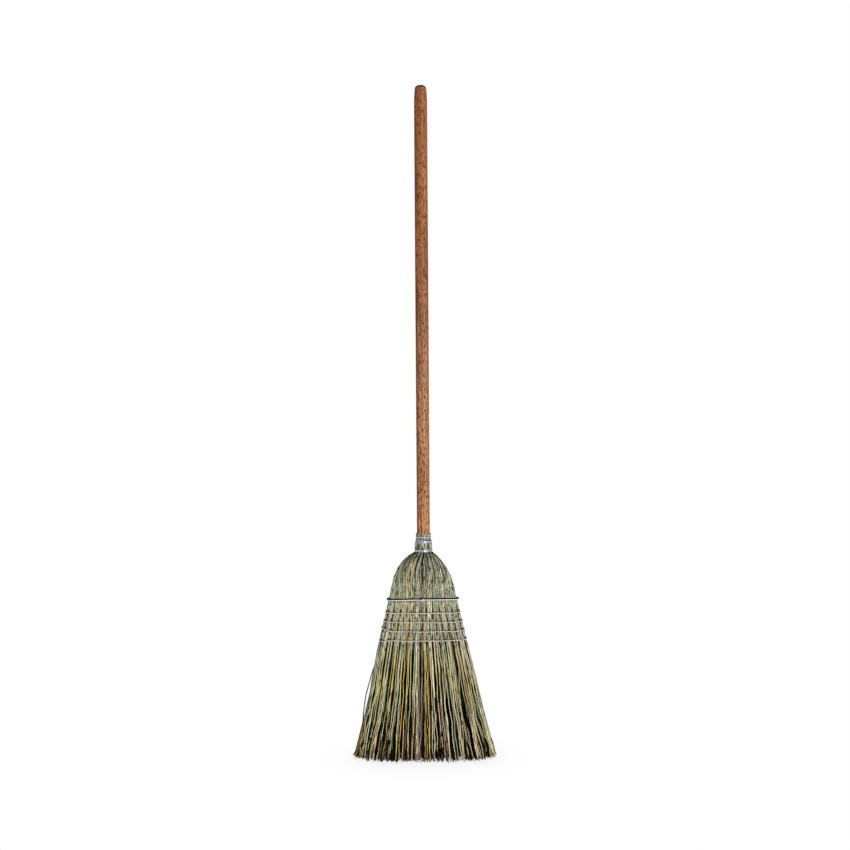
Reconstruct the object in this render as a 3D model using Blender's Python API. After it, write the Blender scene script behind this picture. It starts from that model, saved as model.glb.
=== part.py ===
"""Warehouse corn broom, in metres and +Z up.

A turned wooden handle carries thirteen bunches of broom fibre. Wire binds them to the handle,
a wire band holds the shoulders, and four sewn rows of twine flatten the panel above the sweep.
The origin is on the floor under the middle of the sweep. X runs across the broom's width and
Y through its thickness, and the front faces -Y.
"""

import math
import random

import bmesh
import bpy
from mathutils import Vector

MM = 0.001

# Clearances between separate pieces
GAP = 0.3 * MM
BUNCH_GAP = 0.4 * MM
CORE_SHOULDER_GAP = 1.5 * MM

# Handle: a dowel with a domed top end and a tapered lower end
HANDLE_RADIUS = 14.3 * MM
HANDLE_LENGTH = 1067 * MM
HANDLE_SOCKET = 98 * MM
HANDLE_TOP_FLAT_RADIUS = 6 * MM
HANDLE_TAPER_LENGTH = 16 * MM
HANDLE_TAPER_RADIUS = 11.5 * MM
HANDLE_SIDES = 32
HANDLE_ROUND_STEPS = 5

# Heights of the head, from the floor upwards
SWEEP_LENGTH = 244 * MM
LAST_ROW_RISE = 8 * MM
ROW_PITCH = 19.6 * MM
ROW_COUNT = 4
BAND_RISE = 30 * MM
SHOULDER_HEIGHT = 98.2 * MM
NECK_LOWER_HEIGHT = 23.5 * MM
NECK_UPPER_HEIGHT = 16.5 * MM
STALK_STAGGER = 2 * MM

# Half widths, and the depths that build up from the handle outwards
BAND_HALF_WIDTH = 74 * MM
TIP_HALF_WIDTH = 154 * MM
NECK_STALK_WALL = 2.1 * MM
NECK_STEP = 2.3 * MM
CORE_WALL = 2.7 * MM
BAND_COVER_DEPTH = 10 * MM
SEWN_COVER_DEPTH = 13 * MM
TIP_COVER_DEPTH = 19 * MM
SEWN_CORE_HALF_DEPTH = 14.5 * MM
TIP_CORE_HALF_DEPTH = 27 * MM
CORE_BIND_HEIGHT = 44 * MM
CORE_BIND_CLEARANCE = 17 * MM
CORE_FLARE = 10 * MM
SOCKET_RAMP = 13 * MM

# Wire, twine and nails
WIRE_RADIUS = 0.95 * MM
WIRE_PITCH = 2.6 * MM
WIRE_STEP_DROP = 2.9 * MM
WIRE_TOP_DROP = 7 * MM
INNER_WIRE_RISE = 24 * MM
BAND_WIRE_RADIUS = 1.1 * MM
BAND_LAP = 16 * MM
BAND_LAP_OFFSET = -6 * MM
BAND_LAP_GAP = 0.5 * MM
BAND_BITE = 1.0 * MM
TWINE_RADIUS = 1.1 * MM
STITCH_WIDTH = 2.0 * MM
ROW_BITE = 1.2 * MM
SLOT_RISE = 7 * MM
NAIL_SHANK_RADIUS = 0.8 * MM
NAIL_HEAD_RADIUS = 2.5 * MM
NAIL_HEAD_HEIGHT = 1.0 * MM
NAIL_LENGTH = 14 * MM
NAIL_POINT_LENGTH = 2 * MM
NAIL_TIP_RADIUS = 0.2 * MM
NAIL_SIDES = 8

# Counts of the head's layout, going round it
COVERS = 5
HALF_SECTORS = COVERS + 1
SECTORS = 2 * HALF_SECTORS
COVER_COLUMNS = 8
COVER_LAYERS = 2
SHOULDER_COLUMNS = 8
SHOULDER_LAYERS = 3
CORE_COLUMNS = 5
CORE_LAYERS = 5
COVER_SEGMENTS = 2
SHOULDER_SEGMENTS = 4
POINTS_PER_TURN = 24
TWINE_SIDES = 6
INNER_WIRE_TURNS = 3
NECK_WIRE_TURNS = 5
NECK_WIRE_FOOT_TURNS = 1.75
NECK_WIRE_STEP_TURNS = 2.25

# Shares that shape the head
NECK_EXPONENT = 2.0
SEWN_EXPONENT = 3.2
COVER_SPAN_SHARE = 0.84
WIDTH_SWELL_SHARE = 0.64
WIDTH_ROUND_SHARE = 0.6
WIDTH_SLOPE_SHARE = 0.42
DEPTH_SWELL_SHARE = 0.6
SHOULDER_LEVEL_SHARES = (0.03, 0.08, 0.15, 0.25, 0.37, 0.5, 0.62, 0.8, 1.0)
STALK_TOP_SHARES = (0.0, 0.6, 0.2, 0.9, 0.4, 0.7, 0.1, 0.8, 0.3, 1.0, 0.5, 0.2)
ROOT_FILL_SHARE = 0.84
TIP_FILL_SHARE = 0.52
TIP_SCATTER_SHARE = 0.14
SHORT_TIPS_SHARE = 0.35
SHORTEST_TIP_SHARE = 0.035
SLOPE_STEP_SHARE = 0.001

# Levels and radii that follow from the sizes above
PANEL_BOTTOM = SWEEP_LENGTH
ROW_HEIGHTS = [PANEL_BOTTOM + LAST_ROW_RISE + ROW_PITCH * row for row in range(ROW_COUNT)]
BAND_HEIGHT = ROW_HEIGHTS[-1] + BAND_RISE
SLOT_TOP = ROW_HEIGHTS[-1] + SLOT_RISE
NECK_BOTTOM = BAND_HEIGHT + SHOULDER_HEIGHT
NECK_STEP_HEIGHT = NECK_BOTTOM + NECK_LOWER_HEIGHT
NECK_TOP = NECK_STEP_HEIGHT + NECK_UPPER_HEIGHT
HANDLE_BOTTOM = NECK_TOP - HANDLE_SOCKET
HANDLE_TOP = HANDLE_BOTTOM + HANDLE_LENGTH
CORE_TOP = HANDLE_BOTTOM + CORE_BIND_HEIGHT
CORE_BIND_BOTTOM = HANDLE_BOTTOM + CORE_BIND_CLEARANCE
HALF_SEGMENT = math.pi / POINTS_PER_TURN
SECTOR_ANGLE = 2 * math.pi / SECTORS
NECK_BORE_RADIUS = (HANDLE_RADIUS + GAP) / math.cos(HALF_SEGMENT)
NECK_UPPER_RADIUS = HANDLE_RADIUS + GAP + NECK_STALK_WALL
NECK_LOWER_RADIUS = NECK_UPPER_RADIUS + NECK_STEP
CORE_BORE_RADIUS = (HANDLE_RADIUS + GAP) / math.cos(SECTOR_ANGLE / 2)
CORE_RADIUS = CORE_BORE_RADIUS + CORE_WALL
INNER_WIRE_CENTRE = CORE_RADIUS + GAP + WIRE_RADIUS
SOCKET_RADIUS = (INNER_WIRE_CENTRE + WIRE_RADIUS + GAP) / math.cos(HALF_SEGMENT)
BAND_HALF_DEPTH = SOCKET_RADIUS + BAND_COVER_DEPTH
SEWN_HALF_DEPTH = SEWN_CORE_HALF_DEPTH + SEWN_COVER_DEPTH
TIP_HALF_DEPTH = TIP_CORE_HALF_DEPTH + TIP_COVER_DEPTH
STITCH_GAP = STITCH_WIDTH + 2 * BUNCH_GAP
SHOULDER_ANGLE = math.acos(COVER_SPAN_SHARE ** (SEWN_EXPONENT / 2))


def mix(low, high, share):
    return low + (high - low) * share


def smooth_step(share):
    return share * share * (3 - 2 * share)


def make_material(name, colour, roughness, metallic=0.0):
    material = bpy.data.materials.new(name)
    material.use_nodes = True
    shader = material.node_tree.nodes["Principled BSDF"]
    shader.inputs["Base Color"].default_value = (*colour, 1.0)
    shader.inputs["Roughness"].default_value = roughness
    shader.inputs["Metallic"].default_value = metallic
    return material


def link_object(name, data, material):
    data.materials.append(material)
    piece = bpy.data.objects.new(name, data)
    bpy.context.collection.objects.link(piece)
    return piece


def mesh_object(name, bm, material, sharp_angle=math.radians(40)):
    bmesh.ops.recalc_face_normals(bm, faces=bm.faces)
    mesh = bpy.data.meshes.new(name)
    bm.to_mesh(mesh)
    bm.free()
    mesh.shade_smooth()
    mesh.set_sharp_from_angle(angle=sharp_angle)
    return link_object(name, mesh, material)


def bridge_rings(bm, upper, lower):
    """Faces between two rings of as many vertices, closed round."""
    for index in range(len(upper)):
        after = (index + 1) % len(upper)
        bm.faces.new((upper[index], upper[after], lower[after], lower[index]))


def turned(profile, sides):
    """A closed body turned about Z from (radius, height) pairs, with flat ends."""
    bm = bmesh.new()
    rings = []
    for radius, height in profile:
        ring = []
        for side in range(sides):
            angle = 2 * math.pi * side / sides
            ring.append(bm.verts.new((radius * math.cos(angle), radius * math.sin(angle), height)))
        rings.append(ring)
    for upper, lower in zip(rings, rings[1:]):
        bridge_rings(bm, upper, lower)
    bm.faces.new(rings[0])
    bm.faces.new(rings[-1])
    return bm


def wire_object(name, points, radius, material):
    """One unbroken tube of six sides along the points."""
    curve = bpy.data.curves.new(name, "CURVE")
    curve.dimensions = "3D"
    curve.bevel_depth = radius
    curve.bevel_resolution = 1
    curve.use_fill_caps = True
    spline = curve.splines.new("POLY")
    spline.points.add(len(points) - 1)
    for target, point in zip(spline.points, points):
        target.co = (*point, 1.0)
    spline.use_smooth = True
    return link_object(name, curve, material)


def print_least_gap(name, points, radius, skip):
    """The least gap between a tube's own turns, measured on its points."""
    least = min(
        (points[i] - points[j]).length
        for i in range(len(points))
        for j in range(i + skip, len(points))
    )
    print(f"{name}: least gap to itself {(least - 2 * radius) / MM:.2f} mm")


# The head's cross sections

class Section:
    """The head's outer and inner outline at one height, on the neck, shoulders or skirt."""

    def __init__(self, height, upper_neck=False):
        self.height = height
        self.gap = BUNCH_GAP
        self.inner_radius = NECK_BORE_RADIUS
        self.blend = 0.0
        if height >= NECK_BOTTOM:
            radius = NECK_UPPER_RADIUS if upper_neck else NECK_LOWER_RADIUS
            self.half_width = radius
            self.half_depth = radius
            self.core_half_depth = NECK_BORE_RADIUS
        elif height >= BAND_HEIGHT:
            self.shape_shoulder()
        else:
            self.shape_skirt()
        self.core_half_width = self.half_width * COVER_SPAN_SHARE
        self.exponent = mix(NECK_EXPONENT, SEWN_EXPONENT, self.blend)
        self.bitten = self.bite()
        self.half_depth -= self.bitten

    def shape_shoulder(self):
        share = (NECK_BOTTOM - self.height) / SHOULDER_HEIGHT
        rounded = math.sin(math.pi / 2 * min(1.0, share / WIDTH_ROUND_SHARE))
        spread = mix(rounded ** WIDTH_SWELL_SHARE, share, WIDTH_SLOPE_SHARE)
        swell = math.sin(math.pi / 2 * share)
        self.half_width = mix(NECK_LOWER_RADIUS, BAND_HALF_WIDTH, spread)
        self.half_depth = mix(NECK_LOWER_RADIUS, BAND_HALF_DEPTH, swell ** DEPTH_SWELL_SHARE)
        self.core_half_depth = SOCKET_RADIUS
        ramp = min(1.0, (NECK_BOTTOM - self.height) / SOCKET_RAMP)
        self.inner_radius = mix(NECK_BORE_RADIUS, SOCKET_RADIUS, ramp)
        self.blend = smooth_step(share)

    def shape_skirt(self):
        share = (BAND_HEIGHT - self.height) / BAND_HEIGHT
        self.half_width = mix(BAND_HALF_WIDTH, TIP_HALF_WIDTH, share)
        self.blend = 1.0
        if self.height >= PANEL_BOTTOM:
            panel = (BAND_HEIGHT - self.height) / (BAND_HEIGHT - PANEL_BOTTOM)
            self.half_depth = mix(BAND_HALF_DEPTH, SEWN_HALF_DEPTH, panel)
            self.core_half_depth = mix(SOCKET_RADIUS, SEWN_CORE_HALF_DEPTH, panel)
        else:
            sweep = (PANEL_BOTTOM - self.height) / PANEL_BOTTOM
            self.half_depth = mix(SEWN_HALF_DEPTH, TIP_HALF_DEPTH, sweep)
            self.core_half_depth = mix(SEWN_CORE_HALF_DEPTH, TIP_CORE_HALF_DEPTH, sweep)
        opened = (BAND_HEIGHT - self.height) / (BAND_HEIGHT - SLOT_TOP)
        closed = self.height / PANEL_BOTTOM
        self.gap = mix(BUNCH_GAP, STITCH_GAP, min(1.0, opened, closed))

    def bite(self):
        """How far the twine or the band wire pulls the outline in at this height."""
        reach = ROW_PITCH / 2
        bites = [(row, ROW_BITE) for row in ROW_HEIGHTS] + [(BAND_HEIGHT, BAND_BITE)]
        return max(depth * max(0.0, 1 - abs(self.height - at) / reach) for at, depth in bites)

    def outer(self, place):
        """A point on the outer outline, place being 0 to SECTORS round the head."""
        place %= SECTORS
        angle = mix(neck_angle(place), sewn_angle(place), self.blend)
        power = 2 / self.exponent
        cosine = math.cos(angle)
        sine = math.sin(angle)
        across = abs(cosine) ** power
        beyond = max(0.0, across - COVER_SPAN_SHARE) / (1 - COVER_SPAN_SHARE)
        x = math.copysign(self.half_width * across - self.bitten * beyond, cosine)
        y = math.copysign(self.half_depth * abs(sine) ** power, sine)
        return Vector((x, y, self.height))

    def inner(self, place):
        """A point on the outline that the outer bunches share with the inner bunch."""
        place %= SECTORS
        angle = neck_angle(place)
        circle = Vector((math.cos(angle), math.sin(angle), 0)) * self.inner_radius
        across, through = box_shares(place)
        box = Vector((self.core_half_width * across, self.core_half_depth * through, 0))
        point = circle.lerp(box, self.blend)
        point.z = self.height
        return point

    def boundary(self, place, side, gap=None):
        """The inner and outer ends of a bunch's wall, moved by half the gap to one side."""
        shift = (self.gap if gap is None else gap) / 2
        inner = self.inner(place)
        outer = self.outer(place)
        out = (outer - inner).normalized()
        across = Vector((-out.y, out.x, 0)) * side
        ahead = self.outer(place + SLOPE_STEP_SHARE * side)
        speed = (ahead - outer).dot(across) / SLOPE_STEP_SHARE
        return inner + across * shift, self.outer(place + side * shift / speed), out


def neck_angle(place):
    return (place - 0.5) * SECTOR_ANGLE


def box_shares(place):
    """Where a place lies on the inner bunch's box, as shares of its half width and depth."""
    if place < 1:
        return 1.0, 2 * place - 1
    if place <= HALF_SECTORS:
        return 1 - 2 * (place - 1) / COVERS, 1.0
    if place < HALF_SECTORS + 1:
        return -1.0, 1 - 2 * (place - HALF_SECTORS)
    return 2 * (place - HALF_SECTORS - 1) / COVERS - 1, -1.0


def sewn_angle(place):
    """The outline's angle where the covers stand side by side and the shoulders close the ends."""
    if place < 1:
        return mix(-SHOULDER_ANGLE, SHOULDER_ANGLE, place)
    if HALF_SECTORS < place < HALF_SECTORS + 1:
        return math.pi + mix(-SHOULDER_ANGLE, SHOULDER_ANGLE, place - HALF_SECTORS)
    across = box_shares(place)[0]
    cosine = math.copysign(abs(across * COVER_SPAN_SHARE) ** (SEWN_EXPONENT / 2), across)
    angle = math.acos(cosine)
    return angle if place <= HALF_SECTORS else 2 * math.pi - angle


def is_shoulder(sector):
    return sector % HALF_SECTORS == 0


def outer_segments(sector):
    """How many straight edges a bunch's outer face has across it."""
    return SHOULDER_SEGMENTS if is_shoulder(sector) else COVER_SEGMENTS


def head_sections(sector):
    """A bunch's sections from its stalk ends down to the bottom of the sewn panel."""
    top = NECK_TOP - STALK_STAGGER * STALK_TOP_SHARES[sector]
    sections = [Section(top, True), Section(NECK_STEP_HEIGHT, True), Section(NECK_STEP_HEIGHT)]
    sections.append(Section(NECK_BOTTOM))
    for share in SHOULDER_LEVEL_SHARES:
        sections.append(Section(NECK_BOTTOM - SHOULDER_HEIGHT * share))
    sections.append(Section((BAND_HEIGHT + ROW_HEIGHTS[-1]) / 2))
    for height in reversed(ROW_HEIGHTS):
        sections.append(Section(height))
        if height > ROW_HEIGHTS[0]:
            sections.append(Section(height - ROW_PITCH / 2))
    sections.append(Section(PANEL_BOTTOM))
    return sections


def outer_line(section, sector):
    """The outer edge of one bunch's section, from its first wall to its second."""
    segments = outer_segments(sector)
    first = section.boundary(sector, 1)[1]
    last = section.boundary(sector + 1, -1)[1]
    between = [section.outer(sector + step / segments) for step in range(1, segments)]
    return [first, *between, last]


def inner_line(section, sector):
    first = section.boundary(sector, 1)[0]
    last = section.boundary(sector + 1, -1)[0]
    middle = section.inner(sector + 0.5)
    if is_shoulder(sector):
        middle.x += math.copysign(section.gap / 2, middle.x)
    return [first, middle, last]


def resample(line, cells):
    """The same polyline with its segments cut evenly, so that it has this many of them."""
    each = cells // (len(line) - 1)
    points = []
    for start, end in zip(line, line[1:]):
        points += [start.lerp(end, step / each) for step in range(each)]
    return points + [line[-1]]


def cell_grid(inner, outer, layers):
    """Points between two polylines: one row for each point along them."""
    return [[low.lerp(high, step / layers) for step in range(layers + 1)]
            for low, high in zip(inner, outer)]


def grow_strands(bm, roots, tips, seed):
    """A strand from each cell of the bottom face, tapering and fanning down to the floor."""
    chance = random.Random(seed)
    columns = len(roots) - 1
    layers = len(roots[0]) - 1
    for column in range(columns):
        for layer in range(layers):
            corners = [(column, layer), (column + 1, layer),
                       (column + 1, layer + 1), (column, layer + 1)]
            root = [roots[i][j] for i, j in corners]
            tip = [tips[i][j] for i, j in corners]
            root_centre = sum((vert.co for vert in root), Vector()) / len(root)
            tip_centre = sum(tip, Vector()) / len(tip)
            along = (tip[1] - tip[0]) * chance.uniform(-1, 1) * TIP_SCATTER_SHARE
            through = (tip[3] - tip[0]) * chance.uniform(-1, 1) * TIP_SCATTER_SHARE
            if layer == layers - 1:
                through *= 0
            reach = 1.0
            if chance.random() < SHORT_TIPS_SHARE:
                reach -= SHORTEST_TIP_SHARE * chance.random()
            top = [bm.verts.new(root_centre.lerp(vert.co, ROOT_FILL_SHARE)) for vert in root]
            end = []
            for vert, corner in zip(top, tip):
                target = tip_centre.lerp(corner, TIP_FILL_SHARE) + along + through
                end.append(bm.verts.new(vert.co.lerp(target, reach)))
            bridge_rings(bm, root, top)
            bridge_rings(bm, top, end)
            bm.faces.new(end)


def close_strip(bm, upper, lower_line):
    """Faces from each edge of the upper polyline to its share of the lower one's vertices."""
    each = (len(lower_line) - 1) // (len(upper) - 1)
    for index in range(len(upper) - 1):
        below = lower_line[index * each:(index + 1) * each + 1]
        bm.faces.new([upper[index + 1], upper[index], *below])


def fill_sweep(bm, upper, bottom, tips, layers, seed):
    """Closes a bunch's lowest strip on a grid of cells, and grows the strands from them.

    upper holds the vertices of the last full ring as inner and outer lines, and bottom and tips
    hold the same two lines at the panel's bottom and on the floor, cut into cells.
    """
    roots = [[bm.verts.new(point) for point in row] for row in cell_grid(*bottom, layers)]
    inner_top, outer_top = upper
    close_strip(bm, outer_top, [row[-1] for row in roots])
    close_strip(bm, inner_top, [row[0] for row in roots])
    close_strip(bm, [inner_top[0], outer_top[0]], roots[0])
    close_strip(bm, [inner_top[-1], outer_top[-1]], roots[-1])
    grow_strands(bm, roots, cell_grid(*tips, layers), seed)


def bridge_bunch(bm, upper, lower):
    """Faces between two sections of a bunch, given as inner and outer lines.

    Neighbouring bunches split their twisted walls along the same diagonal, so the gap stays even.
    """
    for above, below in zip(upper, lower):
        for index in range(len(above) - 1):
            bm.faces.new((above[index], above[index + 1], below[index + 1], below[index]))
    for end in (0, -1):
        high_inner, high_outer = upper[0][end], upper[1][end]
        low_inner, low_outer = lower[0][end], lower[1][end]
        bm.faces.new((high_inner, low_outer, high_outer))
        bm.faces.new((high_inner, low_inner, low_outer))


def make_outer_bunch(name, sector, material):
    """A cover or shoulder bunch: wired stalks, swelling shoulder, sewn panel and free sweep."""
    columns = SHOULDER_COLUMNS if is_shoulder(sector) else COVER_COLUMNS
    layers = SHOULDER_LAYERS if is_shoulder(sector) else COVER_LAYERS
    bm = bmesh.new()
    sections = head_sections(sector)
    rings = []
    for section in sections[:-1]:
        inner = [bm.verts.new(point) for point in inner_line(section, sector)]
        outer = [bm.verts.new(point) for point in outer_line(section, sector)]
        rings.append((inner, outer))
    bm.faces.new(rings[0][0] + rings[0][1][::-1])
    for upper, lower in zip(rings, rings[1:]):
        bridge_bunch(bm, upper, lower)
    lines = []
    for section in (sections[-1], Section(0.0)):
        inner = resample(inner_line(section, sector), columns)
        outer = resample(outer_line(section, sector), columns)
        lines.append((inner, outer))
    fill_sweep(bm, rings[-1], lines[0], lines[1], layers, sector % HALF_SECTORS)
    return mesh_object(name, bm, material)


def core_places():
    """The inner bunch's corners going round it, as (boundary, side) pairs."""
    places = []
    for first in (1, HALF_SECTORS + 1):
        for step in range(COVERS):
            places += [(first + step, 1), (first + step + 1, -1)]
    return places


def core_point(section, place, side):
    inner, _, out = section.boundary(place, side)
    clearance = CORE_SHOULDER_GAP if section.height > BAND_HEIGHT else BUNCH_GAP
    return inner - out * clearance


def core_circle(radius, height):
    """The inner bunch's corners where it is bound round the handle."""
    points = []
    for place, side in core_places():
        angle = neck_angle(place) + side * BUNCH_GAP / 2 / radius
        points.append(Vector((radius * math.cos(angle), radius * math.sin(angle), height)))
    return points


def make_inner_bunch(material):
    """The bunch under the covers: bored for the handle, and slotted where the twine goes through."""
    places = core_places()
    bm = bmesh.new()
    outlines = [core_circle(CORE_RADIUS, CORE_TOP), core_circle(CORE_RADIUS, CORE_BIND_BOTTOM)]
    heights = [NECK_BOTTOM - SHOULDER_HEIGHT * share for share in SHOULDER_LEVEL_SHARES]
    levels = [height for height in heights if height < CORE_BIND_BOTTOM - CORE_FLARE]
    for height in levels + [SLOT_TOP]:
        section = Section(height)
        outlines.append([core_point(section, *place) for place in places])
    rings = [[bm.verts.new(point) for point in outline] for outline in outlines]
    for upper, lower in zip(rings, rings[1:]):
        bridge_rings(bm, upper, lower)

    bore_floor = HANDLE_BOTTOM - GAP
    bore_top = [bm.verts.new(point) for point in core_circle(CORE_BORE_RADIUS, CORE_TOP)]
    bore_end = [bm.verts.new(point) for point in core_circle(CORE_BORE_RADIUS, bore_floor)]
    bridge_rings(bm, rings[0], bore_top)
    bridge_rings(bm, bore_top, bore_end)
    bm.faces.new(bore_end)

    lowest = dict(zip(places, rings[-1]))
    bottom = Section(PANEL_BOTTOM)
    floor = Section(0.0)
    for back in range(1, COVERS + 1):
        front = SECTORS + 1 - back
        corners = [(front, -1), (front - 1, 1), (back, 1), (back + 1, -1)]
        upper = [lowest[corner] for corner in corners]
        lines = []
        for section in (bottom, floor):
            points = [core_point(section, *corner) for corner in corners]
            lines.append((resample(points[:2], CORE_COLUMNS), resample(points[2:], CORE_COLUMNS)))
        fill_sweep(bm, (upper[:2], upper[2:]), lines[0], lines[1], CORE_LAYERS, SECTORS + back)
        if back > 1:
            slot = [(front, -1), (front, 1), (back, -1), (back, 1)]
            bm.faces.new([lowest[corner] for corner in slot])
    return mesh_object("inner_bunch", bm, material)


# Wire and twine

def offset_loop(points, distance):
    """A closed outline, with a mitre at each corner, moved outwards by the distance."""
    moved = []
    for index, point in enumerate(points):
        before = (point - points[index - 1]).normalized()
        after = (points[(index + 1) % len(points)] - point).normalized()
        along = (before + after).normalized()
        out = Vector((along.y, -along.x, 0))
        moved.append(point + out * (distance / along.dot(before)))
    return moved


def neck_wire_height(turn):
    """The height of the binding wire: two turns at the foot, one below the step, two at the top."""
    foot_turns = NECK_WIRE_FOOT_TURNS
    step_turns = NECK_WIRE_STEP_TURNS
    landing_turns = math.ceil(step_turns)
    foot = NECK_BOTTOM + GAP + WIRE_RADIUS
    step = NECK_STEP_HEIGHT - WIRE_STEP_DROP
    top = NECK_TOP - WIRE_TOP_DROP
    levels = [(0, foot), (foot_turns, foot + foot_turns * WIRE_PITCH), (step_turns, step),
              (landing_turns, step + (landing_turns - step_turns) * WIRE_PITCH),
              (NECK_WIRE_TURNS - 1, top - WIRE_PITCH), (NECK_WIRE_TURNS, top)]
    for (start, low), (end, high) in zip(levels, levels[1:]):
        if turn <= end:
            return mix(low, high, (turn - start) / (end - start))
    return top


def neck_wire_radius(height):
    """The radius of the wire's centre line, which rounds the step in the stalks."""
    reach = GAP + WIRE_RADIUS
    above = height - NECK_STEP_HEIGHT
    if above <= 0:
        return NECK_LOWER_RADIUS + reach
    if above < reach:
        return NECK_LOWER_RADIUS + math.sqrt(reach * reach - above * above)
    landing = min(1.0, (above - reach) / reach)
    return mix(NECK_LOWER_RADIUS, NECK_UPPER_RADIUS + reach, landing)


def make_neck_wire(material):
    """The binding wire that shows on the neck, from the lower nail up to the upper one."""
    nail_side = NAIL_SHANK_RADIUS + GAP
    straight = 2 * WIRE_RADIUS
    start_height = neck_wire_height(0)
    end_height = neck_wire_height(NECK_WIRE_TURNS)
    start_radius = neck_wire_radius(start_height)
    end_radius = neck_wire_radius(end_height)
    points = [Vector((-nail_side, start_radius, start_height)),
              Vector((-nail_side - straight, start_radius, start_height))]
    for step in range(1, NECK_WIRE_TURNS * POINTS_PER_TURN):
        turn = step / POINTS_PER_TURN
        height = neck_wire_height(turn)
        radius = neck_wire_radius(height)
        angle = math.pi / 2 + 2 * math.pi * turn
        points.append(Vector((radius * math.cos(angle), radius * math.sin(angle), height)))
    points.append(Vector((nail_side + straight, end_radius, end_height)))
    points.append(Vector((nail_side, end_radius, end_height)))
    print_least_gap("neck_wire", points, WIRE_RADIUS, POINTS_PER_TURN // 2)
    return wire_object("neck_wire", points, WIRE_RADIUS, material)


def make_inner_wire(material):
    """The hidden binding wire that holds the inner bunch on the handle."""
    start = HANDLE_BOTTOM + INNER_WIRE_RISE
    radius = INNER_WIRE_CENTRE
    points = []
    for step in range(INNER_WIRE_TURNS * POINTS_PER_TURN + 1):
        turn = step / POINTS_PER_TURN
        angle = math.pi / 2 + 2 * math.pi * turn
        height = start + WIRE_PITCH * turn
        points.append(Vector((radius * math.cos(angle), radius * math.sin(angle), height)))
    print_least_gap("inner_wire", points, WIRE_RADIUS, POINTS_PER_TURN // 2)
    return wire_object("inner_wire", points, WIRE_RADIUS, material)


def make_shoulder_band(material):
    """The wire band round the shoulders, whose ends lap at the middle of the front."""
    section = Section(BAND_HEIGHT)
    places = []
    for sector in range(SECTORS):
        segments = outer_segments(sector)
        places += [sector + step / segments for step in range(segments)]
    loop = offset_loop([section.outer(place) for place in places], GAP + BAND_WIRE_RADIUS)
    loop = [point for point in loop if not is_in_lap(point)]
    after_lap = [index for index, point in enumerate(loop) if point.y < 0 and point.x > lap_end()]
    first = min(after_lap, key=lambda index: loop[index].x)
    order = loop[first:] + loop[:first]
    rise = Vector((0, 0, BAND_WIRE_RADIUS + BAND_LAP_GAP / 2))
    front = -section.half_depth - GAP - BAND_WIRE_RADIUS
    left = lap_end() - BAND_LAP
    straight = 2 * BAND_WIRE_RADIUS
    start = [Vector((x, front, BAND_HEIGHT)) + rise for x in (left, left + straight, lap_end())]
    end = [Vector((x, front, BAND_HEIGHT)) - rise for x in (left, lap_end() - straight, lap_end())]
    points = start + order + end
    print_least_gap("shoulder_band", points, BAND_WIRE_RADIUS, len(points) - 3)
    return wire_object("shoulder_band", points, BAND_WIRE_RADIUS, material)


def lap_end():
    return BAND_LAP_OFFSET + BAND_LAP / 2


def is_in_lap(point):
    return point.y < 0 and lap_end() - BAND_LAP <= point.x <= lap_end()


def make_stitch_row(name, height, material):
    """One row of twine: a lap round the panel, with a stitch through it at each bunch's wall."""
    section = Section(height)
    points = []
    stitch_at = {}
    for place in range(SECTORS):
        for side in (-1, 1):
            stitch_at[(place, side)] = len(points)
            points.append(section.boundary(place, side, STITCH_WIDTH)[1])
        segments = outer_segments(place)
        points += [section.outer(place + step / segments) for step in range(1, segments)]
    centres = offset_loop(points, GAP + TWINE_RADIUS)
    bm = bmesh.new()
    rings = []
    for index, centre in enumerate(centres):
        along = (centres[(index + 1) % len(centres)] - centres[index - 1]).normalized()
        out = Vector((along.y, -along.x, 0))
        ring = []
        for corner in range(TWINE_SIDES):
            angle = 2 * math.pi * (0.5 + corner) / TWINE_SIDES
            offset = out * math.cos(angle) + Vector((0, 0, math.sin(angle)))
            ring.append(bm.verts.new(centre + offset * TWINE_RADIUS))
        rings.append(ring)
    inward = 2
    stitches = {stitch_at[(place, -1)] for place in range(SECTORS)}
    for index, ring in enumerate(rings):
        after = rings[(index + 1) % len(rings)]
        for corner in range(TWINE_SIDES):
            if corner == inward and index in stitches:
                continue
            following = (corner + 1) % TWINE_SIDES
            bm.faces.new((ring[corner], ring[following], after[following], after[corner]))
    for back in range(1, HALF_SECTORS + 1):
        front = SECTORS + 1 - back
        ends = []
        for place in (back, front % SECTORS):
            low = rings[stitch_at[(place, -1)]]
            high = rings[stitch_at[(place, 1)]]
            ends.append([low[inward], low[inward + 1], high[inward + 1], high[inward]])
        mirrored = [ends[1][3], ends[1][2], ends[1][1], ends[1][0]]
        bridge_rings(bm, ends[0], mirrored)
    return mesh_object(name, bm, material)


# Handle and nails

def make_handle(material):
    """The dowel: a domed top end with a small flat, and a tapered end inside the head."""
    round_radius = HANDLE_RADIUS - HANDLE_TOP_FLAT_RADIUS
    profile = []
    for step in range(HANDLE_ROUND_STEPS + 1):
        angle = math.pi / 2 * (1 - step / HANDLE_ROUND_STEPS)
        radius = HANDLE_TOP_FLAT_RADIUS + round_radius * math.cos(angle)
        profile.append((radius, HANDLE_TOP - round_radius * (1 - math.sin(angle))))
    profile.append((HANDLE_RADIUS, HANDLE_BOTTOM + HANDLE_TAPER_LENGTH))
    profile.append((HANDLE_TAPER_RADIUS, HANDLE_BOTTOM))
    return mesh_object("handle", turned(profile, HANDLE_SIDES), material, math.radians(25))


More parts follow.
